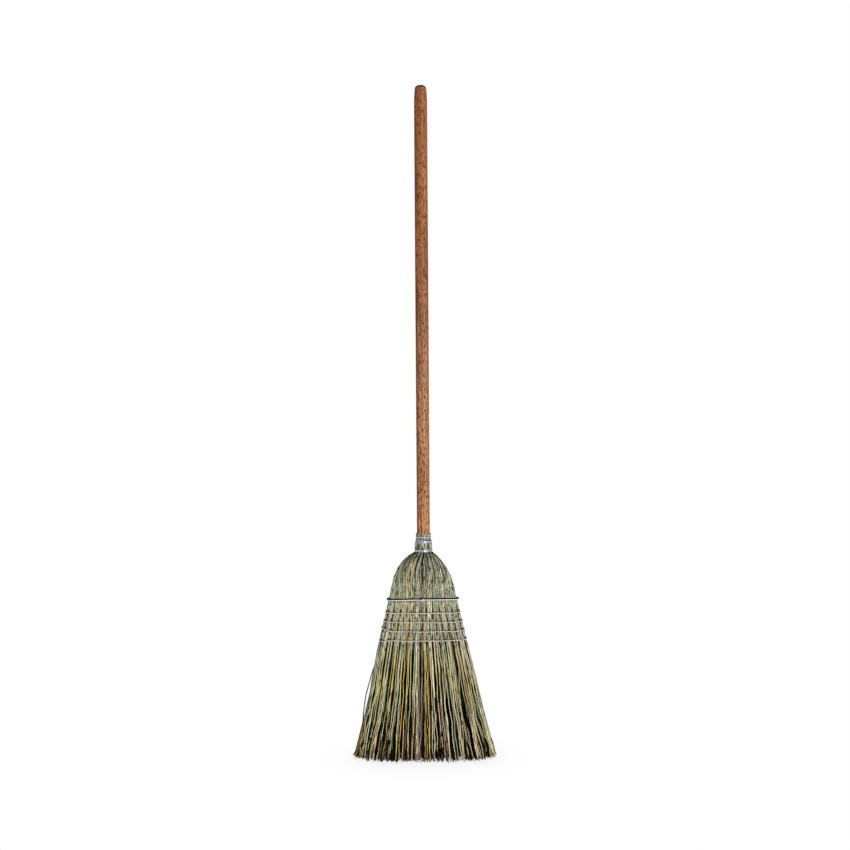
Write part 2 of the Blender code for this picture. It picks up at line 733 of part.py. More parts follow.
def nail_places():
    """Each nail's name, height and the radius at which its head sits, all at the broom's back."""
    over_wire = 2 * WIRE_RADIUS + 2 * GAP
    middle = (CORE_TOP + HANDLE_BOTTOM + INNER_WIRE_RISE + INNER_WIRE_TURNS * WIRE_PITCH) / 2
    return [
        ("upper_neck_nail", neck_wire_height(NECK_WIRE_TURNS), NECK_UPPER_RADIUS + over_wire),
        ("lower_neck_nail", neck_wire_height(0), NECK_LOWER_RADIUS + over_wire),
        ("inner_nail", middle, CORE_RADIUS + GAP),
    ]


def stand_at_back(piece, height, radius):
    piece.location = (0, radius, height)
    piece.rotation_euler = (-math.pi / 2, 0, 0)


def make_nail(name, height, radius, material):
    profile = [
        (NAIL_HEAD_RADIUS, NAIL_HEAD_HEIGHT),
        (NAIL_HEAD_RADIUS, 0),
        (NAIL_SHANK_RADIUS, 0),
        (NAIL_SHANK_RADIUS, NAIL_POINT_LENGTH - NAIL_LENGTH),
        (NAIL_TIP_RADIUS, -NAIL_LENGTH),
    ]
    piece = mesh_object(name, turned(profile, NAIL_SIDES), material)
    stand_at_back(piece, height, radius)
    return piece


def make_nail_hole(name, height, radius, material):
    """A cutter round one nail's shank."""
    hole = NAIL_SHANK_RADIUS + GAP
    profile = [(hole, NAIL_HEAD_HEIGHT), (hole, -NAIL_LENGTH - GAP)]
    cutter = mesh_object(name + "_hole", turned(profile, NAIL_SIDES), material)
    stand_at_back(cutter, height, radius)
    cutter.hide_render = True
    cutter.display_type = "WIRE"
    return cutter


def cut(piece, cutter):
    modifier = piece.modifiers.new(cutter.name, "BOOLEAN")
    modifier.operation = "DIFFERENCE"
    modifier.solver = "EXACT"
    modifier.object = cutter


def main():
    for old in list(bpy.data.objects):
        bpy.data.objects.remove(old)

    wood = make_material("stained wood", (0.40, 0.17, 0.07), 0.5)
    cover_fibre = make_material("cover fibre", (0.34, 0.34, 0.22), 0.75)
    inner_fibre = make_material("inner fibre", (0.24, 0.23, 0.11), 0.8)
    twine = make_material("tan twine", (0.45, 0.30, 0.25), 0.8)
    wire = make_material("galvanised wire", (0.62, 0.62, 0.70), 0.35, 1.0)
    steel = make_material("nail steel", (0.50, 0.50, 0.52), 0.4, 1.0)

    handle = make_handle(wood)
    inner_bunch = make_inner_bunch(inner_fibre)
    back_covers = []
    for number in range(1, COVERS + 1):
        back_covers.append(make_outer_bunch(f"back_cover_bunch_{number}", number, cover_fibre))
        make_outer_bunch(f"front_cover_bunch_{number}", HALF_SECTORS + number, cover_fibre)
    make_outer_bunch("right_shoulder_bunch", 0, cover_fibre)
    make_outer_bunch("left_shoulder_bunch", HALF_SECTORS, cover_fibre)

    make_neck_wire(wire)
    make_inner_wire(wire)
    make_shoulder_band(wire)
    for number, height in enumerate(reversed(ROW_HEIGHTS), start=1):
        make_stitch_row(f"stitch_row_{number}", height, twine)

    back_middle = back_covers[COVERS // 2]
    for name, height, radius in nail_places():
        make_nail(name, height, radius, steel)
        hole = make_nail_hole(name, height, radius, steel)
        cut(handle, hole)
        cut(inner_bunch if name == "inner_nail" else back_middle, hole)


main()
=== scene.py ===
"""Looks of a warehouse corn broom, laid out as an add-on and run as a script.

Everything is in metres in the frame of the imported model: +Z up, the floor at zero, and the
broom's front towards -Y.
"""

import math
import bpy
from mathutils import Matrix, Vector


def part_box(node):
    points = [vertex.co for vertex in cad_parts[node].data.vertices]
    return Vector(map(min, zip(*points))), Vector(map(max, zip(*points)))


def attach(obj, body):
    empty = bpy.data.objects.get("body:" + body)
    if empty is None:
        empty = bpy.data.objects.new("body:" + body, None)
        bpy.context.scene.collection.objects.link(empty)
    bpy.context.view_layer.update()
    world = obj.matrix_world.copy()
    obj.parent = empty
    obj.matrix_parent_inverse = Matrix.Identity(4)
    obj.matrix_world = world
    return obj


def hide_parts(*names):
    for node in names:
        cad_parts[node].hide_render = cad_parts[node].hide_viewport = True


bl_info = {
    "name": "Corn Broom",
    "version": (1, 0, 0),
    "blender": (4, 5, 0),
    "location": "3D View > Sidebar > Broom",
    "description": "Dresses a sewn corn broom with fibres, twine, wire and a stained handle",
    "category": "Object",
}

import bpy
import numpy as np
from mathutils import Vector

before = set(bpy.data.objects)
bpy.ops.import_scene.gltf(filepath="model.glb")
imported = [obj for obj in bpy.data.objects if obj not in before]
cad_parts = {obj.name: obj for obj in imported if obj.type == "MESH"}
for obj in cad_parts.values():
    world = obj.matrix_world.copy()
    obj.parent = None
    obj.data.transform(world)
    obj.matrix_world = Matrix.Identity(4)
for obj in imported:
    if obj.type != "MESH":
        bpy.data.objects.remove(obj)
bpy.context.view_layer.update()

MM = 0.001
FULL_TURN = 2 * math.pi
COVERS = 5
HALF_SECTORS = COVERS + 1
SECTORS = 2 * HALF_SECTORS
SECTOR_ANGLE = FULL_TURN / SECTORS
COVER_SPAN_SHARE = 0.84
SEWN_EXPONENT = 3.2


def middle_height(node):
    low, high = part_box(node)
    return (low.z + high.z) / 2


# Heights, and how far each row's left and right end rise
ROW_HEIGHTS = [middle_height(f"stitch_row_{number}") + 1.5 * MM for number in (1, 2, 3, 4)]
ROW_END_RISES = ((0, 0), (0.5 * MM, 0), (4.5 * MM, 0.5 * MM), (-3.5 * MM, 0))
ROWS = range(len(ROW_HEIGHTS))
LAST_ROW = ROWS[-1]
PANEL_BOTTOM = ROW_HEIGHTS[-1] - 8 * MM
BAND_HEIGHT = middle_height("shoulder_band") + 0.8 * MM
NECK_BOTTOM = BAND_HEIGHT + 98.2 * MM
NECK_STEP = NECK_BOTTOM + 23.5 * MM
NECK_TOP = NECK_BOTTOM + 40 * MM
HANDLE_LOW, HANDLE_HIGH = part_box("handle")

# Radii, widths and depths
HANDLE_RADIUS = HANDLE_HIGH.x
NECK_UPPER_RADIUS = 16.7 * MM
NECK_LOWER_RADIUS = 19.0 * MM
BAND_HALF_WIDTH = 74 * MM
TIP_HALF_WIDTH = 153 * MM
BAND_HALF_DEPTH = 30.5 * MM
SEWN_HALF_DEPTH = 27.5 * MM
TIP_HALF_DEPTH = 45 * MM

# How the shoulders round off in width and in depth
ROUNDED_PART = 0.6
ROUNDING = 0.64
STRAIGHTNESS = 0.42
DEPTH_ROUNDING = 0.6

# Seeds of the random draws
STITCH_SEED, BUNCH_SEED, INNER_SEED = 40, 300, 500


# Sizes and colours that a user may change

def number(name, description, default, low=0.0, high=1.0, **kind):
    return bpy.props.FloatProperty(
        name=name, description=description, default=default, min=low, max=high, **kind)


def length(name, description, default, low=0.0, high=2.0):
    return number(name, description, default, low, high, unit="LENGTH", precision=4)


def share(name, description, default, low=0.0, high=1.0):
    return number(name, description, default, low, high, subtype="FACTOR")


def count(name, description, default, low=1, high=400):
    return bpy.props.IntProperty(
        name=name, description=description, default=default, min=low, max=high)


def screen_colour(red, green, blue):
    """A linear colour from the 0 to 255 values that a screen shows."""
    values = []
    for value in (red, green, blue):
        value /= 255
        values.append(value / 12.92 if value <= 0.04045 else ((value + 0.055) / 1.055) ** 2.4)
    return tuple(values)


def colour(name, description, *shown):
    """A colour setting, given as a screen shows it."""
    return bpy.props.FloatVectorProperty(
        name=name, description=description, default=screen_colour(*shown), size=3, min=0.0,
        max=1.0, subtype="COLOR")


class BroomHandleSettings(bpy.types.PropertyGroup):
    top_gap: length("Top gap", "How far the worn top ends under its full length", 2 * MM)
    dome_height: length("Dome height", "Height of the rounded top end", 7.5 * MM)
    top_taper: length("Top taper", "Length over which the handle thins towards its top", 36 * MM)
    radii: bpy.props.FloatVectorProperty(
        name="Radii", description="Radii of the handle over the neck and half a metre up",
        size=2, default=(13.95 * MM, 14.2 * MM), unit="LENGTH", precision=4)
    top_radius: length("Top radius", "Radius of the handle under its dome", 12.8 * MM)
    sides: count("Sides", "Sides of the turned handle", 72, 12, 256)
    stain: colour("Stain", "Stained wood between its pores", 154, 107, 70)
    low_stain: colour("Low stain", "Fresher stain near the neck", 184, 121, 74)
    late_wood: colour("Late wood", "Darker growth rings", 108, 60, 28)
    light_wood: colour("Light wood", "Palest streaks", 214, 168, 132)
    pores: colour("Pores", "Pores that the stain has filled", 70, 36, 20)
    high_stain: colour("High stain", "Tint of the deeper stain higher up", 240, 215, 187)
    # Painted shade: tints that darken the handle's sides, and its left side more
    side_shade: colour("Side stain", "Tint of the less worn sides", 255, 186, 132)
    left_shade: colour("Edge stain", "Tint of the dark stain on the left", 206, 156, 130)
    end_grain: colour("End grain", "Soaked end grain at the top", 66, 12, 6)


class BroomFibreSettings(bpy.types.PropertyGroup):
    strands_per_bunch: count("Strands per bunch", "Strands side by side in one layer", 22)
    branches_per_bunch: count("Branches per bunch", "Shorter strands in one layer", 4)
    inner_strands: count("Inner strands", "Strands of the bunch inside the covers", 420, 10, 2000)
    strand_width: length("Strand width", "Usual width of one strand", 1.9 * MM)
    strand_thickness: share("Flatness", "Thickness of a strand as a share of its width", 0.55)
    # Painted shade: how much darker a strand's edges are coloured than its ridge
    painted_edge_light: share("Fold", "How light the edges of a strand are beside its ridge", 0.4)
    tip_wander: length("Tip wander", "How far strands stray sideways at the floor", 2.1 * MM)
    tuft_pitch: length("Stitch spacing", "Distance between stitches along a row", 13.7 * MM)
    pinch_depth: length("Pinch depth", "How far the twine pulls the fibre in", 1.1 * MM)
    parting: length("Parting", "How far fibre is pushed aside at a stitch", 1.9 * MM)
    tuck: length("Tuck", "How far fibre turns in just above the twine", 1.3 * MM)
    # Painted shade along strands where they seem to dip under others
    painted_gap_light: share("Gap lightness", "How light a strand is where it dips under others", 0.08)
    roughness: share("Roughness", "Roughness of the dry fibre", 0.6)


class BroomBindingSettings(bpy.types.PropertyGroup):
    wire_radius: length("Wire radius", "Radius of the binding wire", 1.2 * MM)
    band_radius: length("Band radius", "Radius of the shoulder band", 2.55 * MM)
    twine_radius: length("Twine radius", "Radius of the sewing twine", 1.1 * MM)
    wire_colour: colour("Wire", "Galvanised neck wire", 208, 203, 230)
    band_colour: colour("Band", "Brighter shoulder band", 248, 246, 255)
    # Painted shade: past these lines the wire's upper side is coloured near black, rough and not
    # metallic
    neck_shade_line: number("Neck tarnish", "Where the neck wire's dull upper side starts", 0.72, -1)
    band_shade_line: number("Band tarnish", "Where the band's dull upper side starts", -0.12, -1)
    painted_upper_shade: colour("Tarnish", "Dull upper side of the wire", 5, 5, 8)
    twine_colour: colour("Twine", "Faded twine", 250, 238, 236)
    twine_shade: colour("Twine shade", "Between the plies of the twine", 226, 196, 188)
    # Painted shade along the twine's upper side
    twine_upper_shade: colour("Twine soil", "Soiled upper side of the twine", 84, 52, 44)


class BroomStageSettings(bpy.types.PropertyGroup):
    lens: number("Lens", "Focal length of the camera in millimetres", 41.0, 10, 300)
    distance: length("Distance", "Distance from the camera to the broom", 2.0897, 0.3, 20)
    camera_height: length("Camera height", "Height of the camera over the floor", 0.7137)
    camera_side: length("Camera side", "How far the camera stands to the right", 5 * MM, -1, 1)
    roll: number("Roll", "Roll of the camera", math.radians(0.38), -1, 1, subtype="ANGLE")
    room_light: share("Room light", "Strength of the even light from all round", 0.3, 0, 4)
    key_light: share("Key light", "Strength of the soft light from the front right", 2.7, 0, 10)
    shadow: share("Shadow", "How bright the floor is right under the broom", 0.86)


# Plain mathematics

def smooth(value):
    value = np.clip(value, 0.0, 1.0)
    return value * value * (3 - 2 * value)


def mix(low, high, value):
    return low + (high - low) * value


def bell(off, width):
    """One where off is zero, and next to nothing from two widths away."""
    return np.exp(-(off / width) ** 2)


def signed_power(value, exponent):
    return np.sign(value) * np.abs(value) ** exponent


def unit(vectors):
    return vectors / np.maximum(np.linalg.norm(vectors, axis=-1, keepdims=True), 1e-9)


# The head's outline, on which every fibre, wire and stitch lies

def shoulder_fall(height):
    """How far down from the neck's foot to the band a height is, from 0 to 1."""
    return np.clip((NECK_BOTTOM - height) / (NECK_BOTTOM - BAND_HEIGHT), 0.0, 1.0)


def sweep_fall(height):
    """How far down from the sewn panel to the floor a height is, from 0 to 1."""
    return np.clip((PANEL_BOTTOM - height) / PANEL_BOTTOM, 0, 1)


def half_width(height):
    fall = shoulder_fall(height)
    rounded = np.sin(math.pi / 2 * np.minimum(1.0, fall / ROUNDED_PART)) ** ROUNDING
    shoulder = mix(NECK_LOWER_RADIUS, BAND_HALF_WIDTH, mix(rounded, fall, STRAIGHTNESS))
    skirt = mix(BAND_HALF_WIDTH, TIP_HALF_WIDTH, (BAND_HEIGHT - height) / BAND_HEIGHT)
    return np.where(height > BAND_HEIGHT, shoulder, skirt)


def half_depth(height):
    rounded = np.sin(math.pi / 2 * shoulder_fall(height)) ** DEPTH_ROUNDING
    shoulder = mix(NECK_LOWER_RADIUS, BAND_HALF_DEPTH, rounded)
    sewn = (BAND_HEIGHT - height) / (BAND_HEIGHT - PANEL_BOTTOM)
    panel = mix(BAND_HALF_DEPTH, SEWN_HALF_DEPTH, smooth(sewn))
    sweep = mix(SEWN_HALF_DEPTH, TIP_HALF_DEPTH, (PANEL_BOTTOM - height) / PANEL_BOTTOM)
    below = np.where(height > PANEL_BOTTOM, panel, sweep)
    return np.where(height > BAND_HEIGHT, shoulder, below)


def outline(place, height):
    """Points on the head's outline and their outward normals.

    A place runs from 0 to 12 round the head: 0 to 1 is the right shoulder, 1 to 6 the back
    from right to left, 6 to 7 the left shoulder and 7 to 12 the front from left to right.
    The round neck becomes the flat panel on the way down to the band.
    """
    place = np.mod(place, SECTORS)
    end_angle = math.acos(COVER_SPAN_SHARE ** (SEWN_EXPONENT / 2))
    back_across = 1 - 2 * (place - 1) / COVERS
    front_across = 2 * (place - HALF_SECTORS - 1) / COVERS - 1
    across = np.clip(np.where(place <= HALF_SECTORS, back_across, front_across), -1, 1)
    turned = np.arccos(signed_power(across * COVER_SPAN_SHARE, SEWN_EXPONENT / 2))
    sewn = np.where(place <= HALF_SECTORS, turned, FULL_TURN - turned)
    sewn = np.where(place < 1, mix(-end_angle, end_angle, place), sewn)
    left = (place > HALF_SECTORS) & (place < HALF_SECTORS + 1)
    sewn = np.where(left, math.pi + mix(-end_angle, end_angle, place - HALF_SECTORS), sewn)
    flat = smooth(shoulder_fall(height))
    angle = mix((place - 0.5) * SECTOR_ANGLE, sewn, flat)
    exponent = mix(2.0, SEWN_EXPONENT, flat)
    wide, deep = half_width(height), half_depth(height)
    x_share = signed_power(np.cos(angle), 2 / exponent)
    y_share = signed_power(np.sin(angle), 2 / exponent)
    points = np.stack([wide * x_share, deep * y_share, height + 0 * angle], -1)
    out_x = signed_power(x_share, exponent - 1) / wide
    out_y = signed_power(y_share, exponent - 1) / deep
    return points, unit(np.stack([out_x, out_y, 0 * out_x], -1))


def row_spread(row, height):
    """How much wider the head is at a height than at a row of twine."""
    return half_width(height) / half_width(ROW_HEIGHTS[row])


def arc_per_place(height):
    """How wide one place of the outline is at a height."""
    return 2 * COVER_SPAN_SHARE * half_width(height) / COVERS


def on_face(out, start=0.35, width=0.4):
    """How far normals belong to the flat front or back, from 0 to 1."""
    return smooth((np.abs(out[..., 1]) - start) / width)


def row_line(row, x):
    """The height of a row of twine at an x. The rows aren't quite level."""
    end = np.clip(np.abs(x) / half_width(ROW_HEIGHTS[row]), 0, 1)
    rise = np.where(x < 0, *ROW_END_RISES[row])
    ripple = 0.5 * MM * np.sin(x / (17 * MM) + 2.1 * row) * np.sin(x / (31 * MM) + row)
    return ROW_HEIGHTS[row] + rise * smooth((end - 0.7) / 0.3) + ripple


# How far inside the panel's edges the outermost stitches are, and how wide each one pulls
PANEL_EDGE = 5 * MM
STITCH_PULL = 2.6 * MM


def stitch_places(row, pitch):
    """The x of each stitch along a row, about evenly spaced between the panel's ends."""
    reach = float(half_width(ROW_HEIGHTS[row])) - PANEL_EDGE
    tufts = max(2, round(2 * reach / pitch))
    even = np.linspace(-reach, reach, tufts + 1)
    uneven = np.random.RandomState(STITCH_SEED + row).uniform(-1.6, 1.6, tufts + 1) * MM
    uneven[[0, -1]] = 0
    return even + uneven


def stitch_pull(row, x, pitch):
    """How far off the nearest stitch of a row is, and how strong its pull from 0 to 1."""
    holes = stitch_places(row, pitch)
    off = x - holes[np.abs(x[..., None] - holes).argmin(-1)]
    return off, bell(off, STITCH_PULL)


def sewn_places(points, settings):
    """How many rows down and how many stitches along points lie, for the fibre's material.

    A row of twine is at each whole number from 0 to 3 and a stitch at each whole number.
    """
    x, height = points[..., 0], points[..., 2]
    lines = [row_line(row, x) for row in ROWS]
    down = np.minimum((lines[0] - height) / (lines[0] - lines[1]), 1)
    down = down + np.clip((lines[1] - height) / (lines[1] - lines[2]), 0, 1)
    down = down + np.maximum((lines[2] - height) / (lines[2] - lines[3]), 0)
    nearest = np.clip(np.round(down), 0, LAST_ROW)
    along = np.zeros_like(x)
    for row in ROWS:
        holes = stitch_places(row, settings.tuft_pitch)
        ends = [holes[0] - PANEL_EDGE, *holes, holes[-1] + PANEL_EDGE]
        numbers = [-0.5, *range(len(holes)), len(holes) - 0.5]
        place = np.interp(x / row_spread(row, height), ends, numbers)
        along = np.where(nearest == row, place, along)
    return np.stack([np.clip(down, -0.5, LAST_ROW + 0.5), along], -1)


# How far up and down the twine holds the fibre, also below the last row, and sideways
ROW_HOLD = 6 * MM
LAST_ROW_HOLD = 55 * MM
STITCH_HOLD = 3.4 * MM
# How far above the twine the fibre turns in, and over what height
TUCK_RISE, TUCK_HOLD = 2.2 * MM, 1.9 * MM
# The same for the band, after how deep and over what height it presses the fibre
BAND_PINCH, BAND_HOLD = 1.2 * MM, 8 * MM
BAND_TUCK, BAND_TUCK_RISE, BAND_TUCK_HOLD = 0.8 * MM, 2.6 * MM, 2 * MM


def press(points, out, settings):
    """Moves surface points as the sewn rows and the band hold the fibre."""
    x, height = points[..., 0].copy(), points[..., 2].copy()
    face = on_face(out)
    for row in ROWS:
        above = height - row_line(row, x)
        near = bell(above, ROW_HOLD)
        spread = row_spread(row, height)
        off, pull = stitch_pull(row, x / spread, settings.tuft_pitch)
        hold_below = LAST_ROW_HOLD if row == LAST_ROW else ROW_HOLD
        parted = np.where(above < 0, bell(above, hold_below), near)
        aside = np.sign(off) * settings.parting * np.exp(-np.abs(off) / STITCH_HOLD) * parted
        points[..., 0] += aside * spread * face
        depth = settings.pinch_depth * near * (1 + 1.6 * pull * face)
        depth = depth + settings.tuck * bell(above - TUCK_RISE, TUCK_HOLD)
        points -= out * depth[..., None]
    above = height - BAND_HEIGHT
    depth = BAND_PINCH * bell(above, BAND_HOLD)
    depth = depth + BAND_TUCK * bell(above - BAND_TUCK_RISE, BAND_TUCK_HOLD)
    points -= out * depth[..., None]
    return points


def painted_shade(points, out):
    """Painted shade: how light fibre is from 0 to 1, darker on the head's sides and under the neck
    wire.
    """
    height = points[..., 2]
    dome = smooth((height - NECK_BOTTOM + 55 * MM) / (50 * MM))
    face = on_face(out, mix(0.12, 0.36, dome), 0.3)
    light = mix(mix(0.48, 0.06, dome), 1.0, face)
    return light * mix(1.0, 0.5, smooth((height - NECK_BOTTOM + 26 * MM) / (25 * MM)) ** 1.5)


def lean(points):
    """The worn head, a little to the left of the handle, with a narrower left side."""
    x, height = points[..., 0], points[..., 2]
    fall = sweep_fall(height)
    side = np.clip(np.abs(x) / half_width(height), 0, 1) ** 2
    left = 3.5 * MM * smooth(fall * 2) * (1 - 0.9 * smooth((fall - 0.55) / 0.45))
    right = 4 * MM * smooth((fall - 0.7) / 0.3)
    drop = (NECK_BOTTOM - height) / MM
    tight = 3.0 * MM * smooth(drop / 4) * (1 - smooth(drop / 75))
    drift = 2.3 * MM * smooth(drop / 22) * (1 - 0.6 * fall)
    points[..., 0] += np.where(x < 0, left, right - tight) * side - drift
    return points


# Making meshes

def deselect_all():
    for piece in bpy.context.selected_objects:
        piece.select_set(False)


def select_only(*pieces):
    """Selects the pieces and makes the first one active."""
    deselect_all()
    for piece in pieces:
        piece.select_set(True)
    bpy.context.view_layer.objects.active = pieces[0]


def new_piece(name):
    """Names the active piece, such as a primitive that was just added, and returns it."""
    piece = bpy.context.object
    piece.name = name
    piece.data.name = name
    return piece


def joined(name, *pieces):
    select_only(*pieces)
    bpy.ops.object.join()
    return new_piece(name)


def placed(name, data):
    """A new object for a mesh or a curve, in the scene."""
    piece = bpy.data.objects.new(name, data)
    bpy.context.collection.objects.link(piece)
    return piece


def place_piece(piece, material, slot, *nodes):
    """Sets a finished piece in the row frame, on its body and in its material."""
    select_only(piece)
    bpy.ops.object.transform_apply(location=True, rotation=True, scale=True)
    piece.data.materials.clear()
    piece.data.materials.append(material)
    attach(piece, "root")
    if nodes:
        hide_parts(*nodes)
    piece.select_set(False)


def edit_all():
    bpy.ops.object.mode_set(mode="EDIT")
    bpy.ops.mesh.select_all(action="SELECT")


def close_edit():
    bpy.ops.mesh.select_all(action="SELECT")
    bpy.ops.mesh.normals_make_consistent(inside=False)
    bpy.ops.object.mode_set(mode="OBJECT")


def turned(name, profile, sides):
    """A closed shape turned about Z from (radius, height) pairs, from the bottom up."""
    deselect_all()
    radius, height = profile[0]
    bpy.ops.mesh.primitive_circle_add(
        vertices=sides, radius=radius, fill_type="NGON", location=(0, 0, height))
    piece = new_piece(name)
    bpy.ops.object.transform_apply(location=True)
    edit_all()
    for next_radius, next_height in profile[1:]:
        bpy.ops.mesh.extrude_region_move(
            TRANSFORM_OT_translate={"value": (0, 0, next_height - height)})
        wider = next_radius / radius
        bpy.ops.transform.resize(value=(wider, wider, 1), center_override=(0, 0, next_height))
        radius, height = next_radius, next_height
    close_edit()
    select_only(piece)
    bpy.ops.object.shade_smooth_by_angle(angle=math.radians(35))
    return piece


def bend_wire(name, paths, radius, roundness, closed=False):
    """Round wire or yarn along one or more paths, as a bevelled curve turned into a mesh."""
    curve = bpy.data.curves.new(name, "CURVE")
    curve.dimensions = "3D"
    curve.bevel_depth = radius
    curve.bevel_resolution = roundness
    curve.use_fill_caps = True
    for path in paths:
        spline = curve.splines.new("POLY")
        spline.points.add(len(path) - 1)
        spline.points.foreach_set("co", [value for point in path for value in (*point, 1)])
        spline.use_cyclic_u = closed
        spline.use_smooth = True
    select_only(placed(name, curve))
    bpy.ops.object.convert(target="MESH")
    piece = new_piece(name)
    bpy.ops.object.shade_smooth_by_angle(angle=math.radians(50))
    return piece


def strand_template(sides, cuts, ridge=0):
    """One strand as a rod of unit radius along Z, made once and copied for all its kind.

    Returns its corners as (ring number, cosine, sine) and its faces.
    """
    deselect_all()
    bpy.ops.mesh.primitive_circle_add(vertices=sides, radius=1, fill_type="NGON",
                                      rotation=(0, 0, math.radians(ridge)))
    rod = new_piece("strand_template")
    bpy.ops.object.transform_apply(rotation=True)
    edit_all()
    for _ in range(cuts):
        bpy.ops.mesh.extrude_region_move(TRANSFORM_OT_translate={"value": (0, 0, 1)})
    close_edit()
    mesh = rod.data
    corners = [(round(vert.co.z), vert.co.x, vert.co.y) for vert in mesh.vertices]
    faces = [tuple(face.vertices) for face in mesh.polygons]
    bpy.data.objects.remove(rod)
    bpy.data.meshes.remove(mesh)
    return np.array(corners), faces


# How long the map's strips are for their width, and the share of the map's height and
# width that stays free beside each
STRIP_LENGTH = 6
STRIP_END_GAP, STRIP_SIDE_GAP = 0.02, 0.1


def strand_map(corners, rings, total, left, right):
    """Where each corner of each strand lies on the map: upright strips in rows."""
    turn = np.arctan2(corners[:, 2], corners[:, 1]) / FULL_TURN % 1
    columns = math.ceil(math.sqrt(total * STRIP_LENGTH * (right - left)))
    rows = math.ceil(total / columns)
    row, column = np.divmod(np.arange(total)[:, None], columns)
    across = mix(left, right, (column + STRIP_SIDE_GAP + (1 - 2 * STRIP_SIDE_GAP) * turn) / columns)
    upward = (1 - 2 * STRIP_END_GAP) * corners[:, 0] / (rings - 1)
    upward = (row + STRIP_END_GAP + upward) / rows
    return np.stack([across, upward], -1).reshape(-1, 2)


def fill(items, field, values, kind=np.float32):
    items.foreach_set(field, np.asarray(values).astype(kind).ravel())


# Its multiples, without their whole parts, spread evenly from 0 to 1
GOLDEN_SHARE = 0.618034


def lay_strands(name, template, layer, thickness, left=0.0, right=1.0, painted_edge_light=1.0):
    """A mesh of strands laid along their paths.

    A layer holds paths and outward normals, both strands x rings x 3, widths, which are
    strands x rings, and colours, strands x rings x 3, or x 5 with the sewn places. The
    strands share the map between left and right, and the edge light is how light their
    edges are painted beside their ridges, as painted shade.
    """
    corners, faces = template
    paths, out, widths, colours = layer
    ring = corners[:, 0].astype(int)
    total, rings = widths.shape
    each = len(corners)
    along = unit(np.gradient(paths, axis=1))
    side = unit(np.cross(along, out))
    lift = np.cross(side, along)
    half = widths[:, ring, None] / 2
    mesh = bpy.data.meshes.new(name)
    mesh.vertices.add(total * each)
    fill(mesh.vertices, "co", paths[:, ring] + side[:, ring] * corners[:, 1, None] * half
         + lift[:, ring] * corners[:, 2, None] * half * thickness)
    loops = np.concatenate(faces) + each * np.arange(total)[:, None]
    sizes = np.tile([len(face) for face in faces], total)
    mesh.loops.add(loops.size)
    fill(mesh.loops, "vertex_index", loops, np.int32)
    mesh.polygons.add(len(sizes))
    fill(mesh.polygons, "loop_start", np.cumsum(sizes) - sizes, np.int32)
    mesh.update(calc_edges=True)
    mesh.validate()
    # Painted shade: the edges of each strand are coloured darker than its ridge
    ridge = smooth((corners[:, 2] + 0.5) / 1.2)
    lit = colours[:, ring, :3] * mix(painted_edge_light, 1.0, ridge)[:, None]
    tint = mesh.color_attributes.new("strand_colour", "FLOAT_COLOR", "POINT")
    fill(tint.data, "color", np.concatenate([lit, np.ones((total, each, 1))], -1))
    marks = np.full((total, each, 3), 0.5)
    marks[..., 2] = np.modf(GOLDEN_SHARE * np.arange(total))[0][:, None]
    if colours.shape[-1] > 3:
        marks[..., :2] = colours[:, ring, 3:]
    fill(mesh.attributes.new("sewn_place", "FLOAT_VECTOR", "POINT").data, "vector", marks)
    layout = strand_map(corners, rings, total, left, right)
    fill(mesh.uv_layers.new(name="OFBake").uv, "vector", layout[loops.ravel()])
    mesh.shade_smooth()
    for face in mesh.polygons:
        if face.loop_total != 4:
            face.use_smooth = False
    return placed(name, mesh)


# Materials

def new_material(name):
    material = bpy.data.materials.new(name)
    material.use_nodes = True
    return material, material.node_tree, material.node_tree.nodes["Principled BSDF"]


def feed(tree, node, values):
    """Gives a node's inputs their values, or links sockets to them."""
    for name, value in values.items():
        socket = node.inputs[name]
        if isinstance(value, bpy.types.NodeSocket):
            tree.links.new(value, socket)
        elif socket.type == "RGBA" and not isinstance(value, (int, float)):
            socket.default_value = (*value, 1.0)
        else:
            socket.default_value = value
    return node


def add(tree, kind, inputs=None, **settings):
    """A node with its settings and its inputs."""
    node = tree.nodes.new(kind)
    for name, value in settings.items():
        setattr(node, name, value)
    return feed(tree, node, inputs or {})


def maths(tree, operation, first, second=0.0):
    return add(tree, "ShaderNodeMath", {0: first, 1: second}, operation=operation).outputs[0]


def summed(tree, first, second):
    """The sum of two vectors."""
    return add(tree, "ShaderNodeVectorMath", {0: first, 1: second},
               operation="ADD").outputs[0]


def coordinate(tree, source, axis):
    """One axis of the Object or Normal coordinates."""
    vector = add(tree, "ShaderNodeTexCoord").outputs[source]
    return add(tree, "ShaderNodeSeparateXYZ", {"Vector": vector}).outputs[axis]


def stretched(tree, scale):
    """Object coordinates that stretch a pattern by the scale along each axis."""
    place = add(tree, "ShaderNodeTexCoord").outputs["Object"]
    return add(tree, "ShaderNodeMapping", {"Vector": place, "Scale": scale}).outputs["Vector"]


def noise(tree, scale, detail=3.0, roughness=0.6, shift=None):
    """Noise, finer along an axis the larger its scale, and moved aside by the shift."""
    vector = stretched(tree, scale)
    if shift is not None:
        vector = summed(tree, vector, shift)
    return add(tree, "ShaderNodeTexNoise",
               {"Vector": vector, "Scale": 1.0, "Detail": detail,
                "Roughness": roughness}).outputs["Fac"]


def between(tree, value, low, high, to_low=0.0, to_high=1.0):
    return add(tree, "ShaderNodeMapRange",
               {"Value": value, "From Min": low, "From Max": high,
                "To Min": to_low, "To Max": to_high}).outputs["Result"]


def blended(tree, amount, first, second, mode="MIX"):
    return add(tree, "ShaderNodeMix", {0: amount, 6: first, 7: second},
               data_type="RGBA", blend_type=mode).outputs[2]


def bumped(tree, height, strength, distance):
    return add(tree, "ShaderNodeBump", {"Height": height, "Strength": strength,
                                        "Distance": distance}).outputs["Normal"]


def off_whole(tree, value):
    """How far a value is from the nearest whole number, below zero under it."""
    return maths(tree, "SUBTRACT", maths(tree, "FRACT", maths(tree, "ADD", value, 0.5)), 0.5)


# From how far down on, counted in rows, the fibre is loose and no longer held
HELD_DOWN, LOOSE_DOWN = 3.3, 3.5


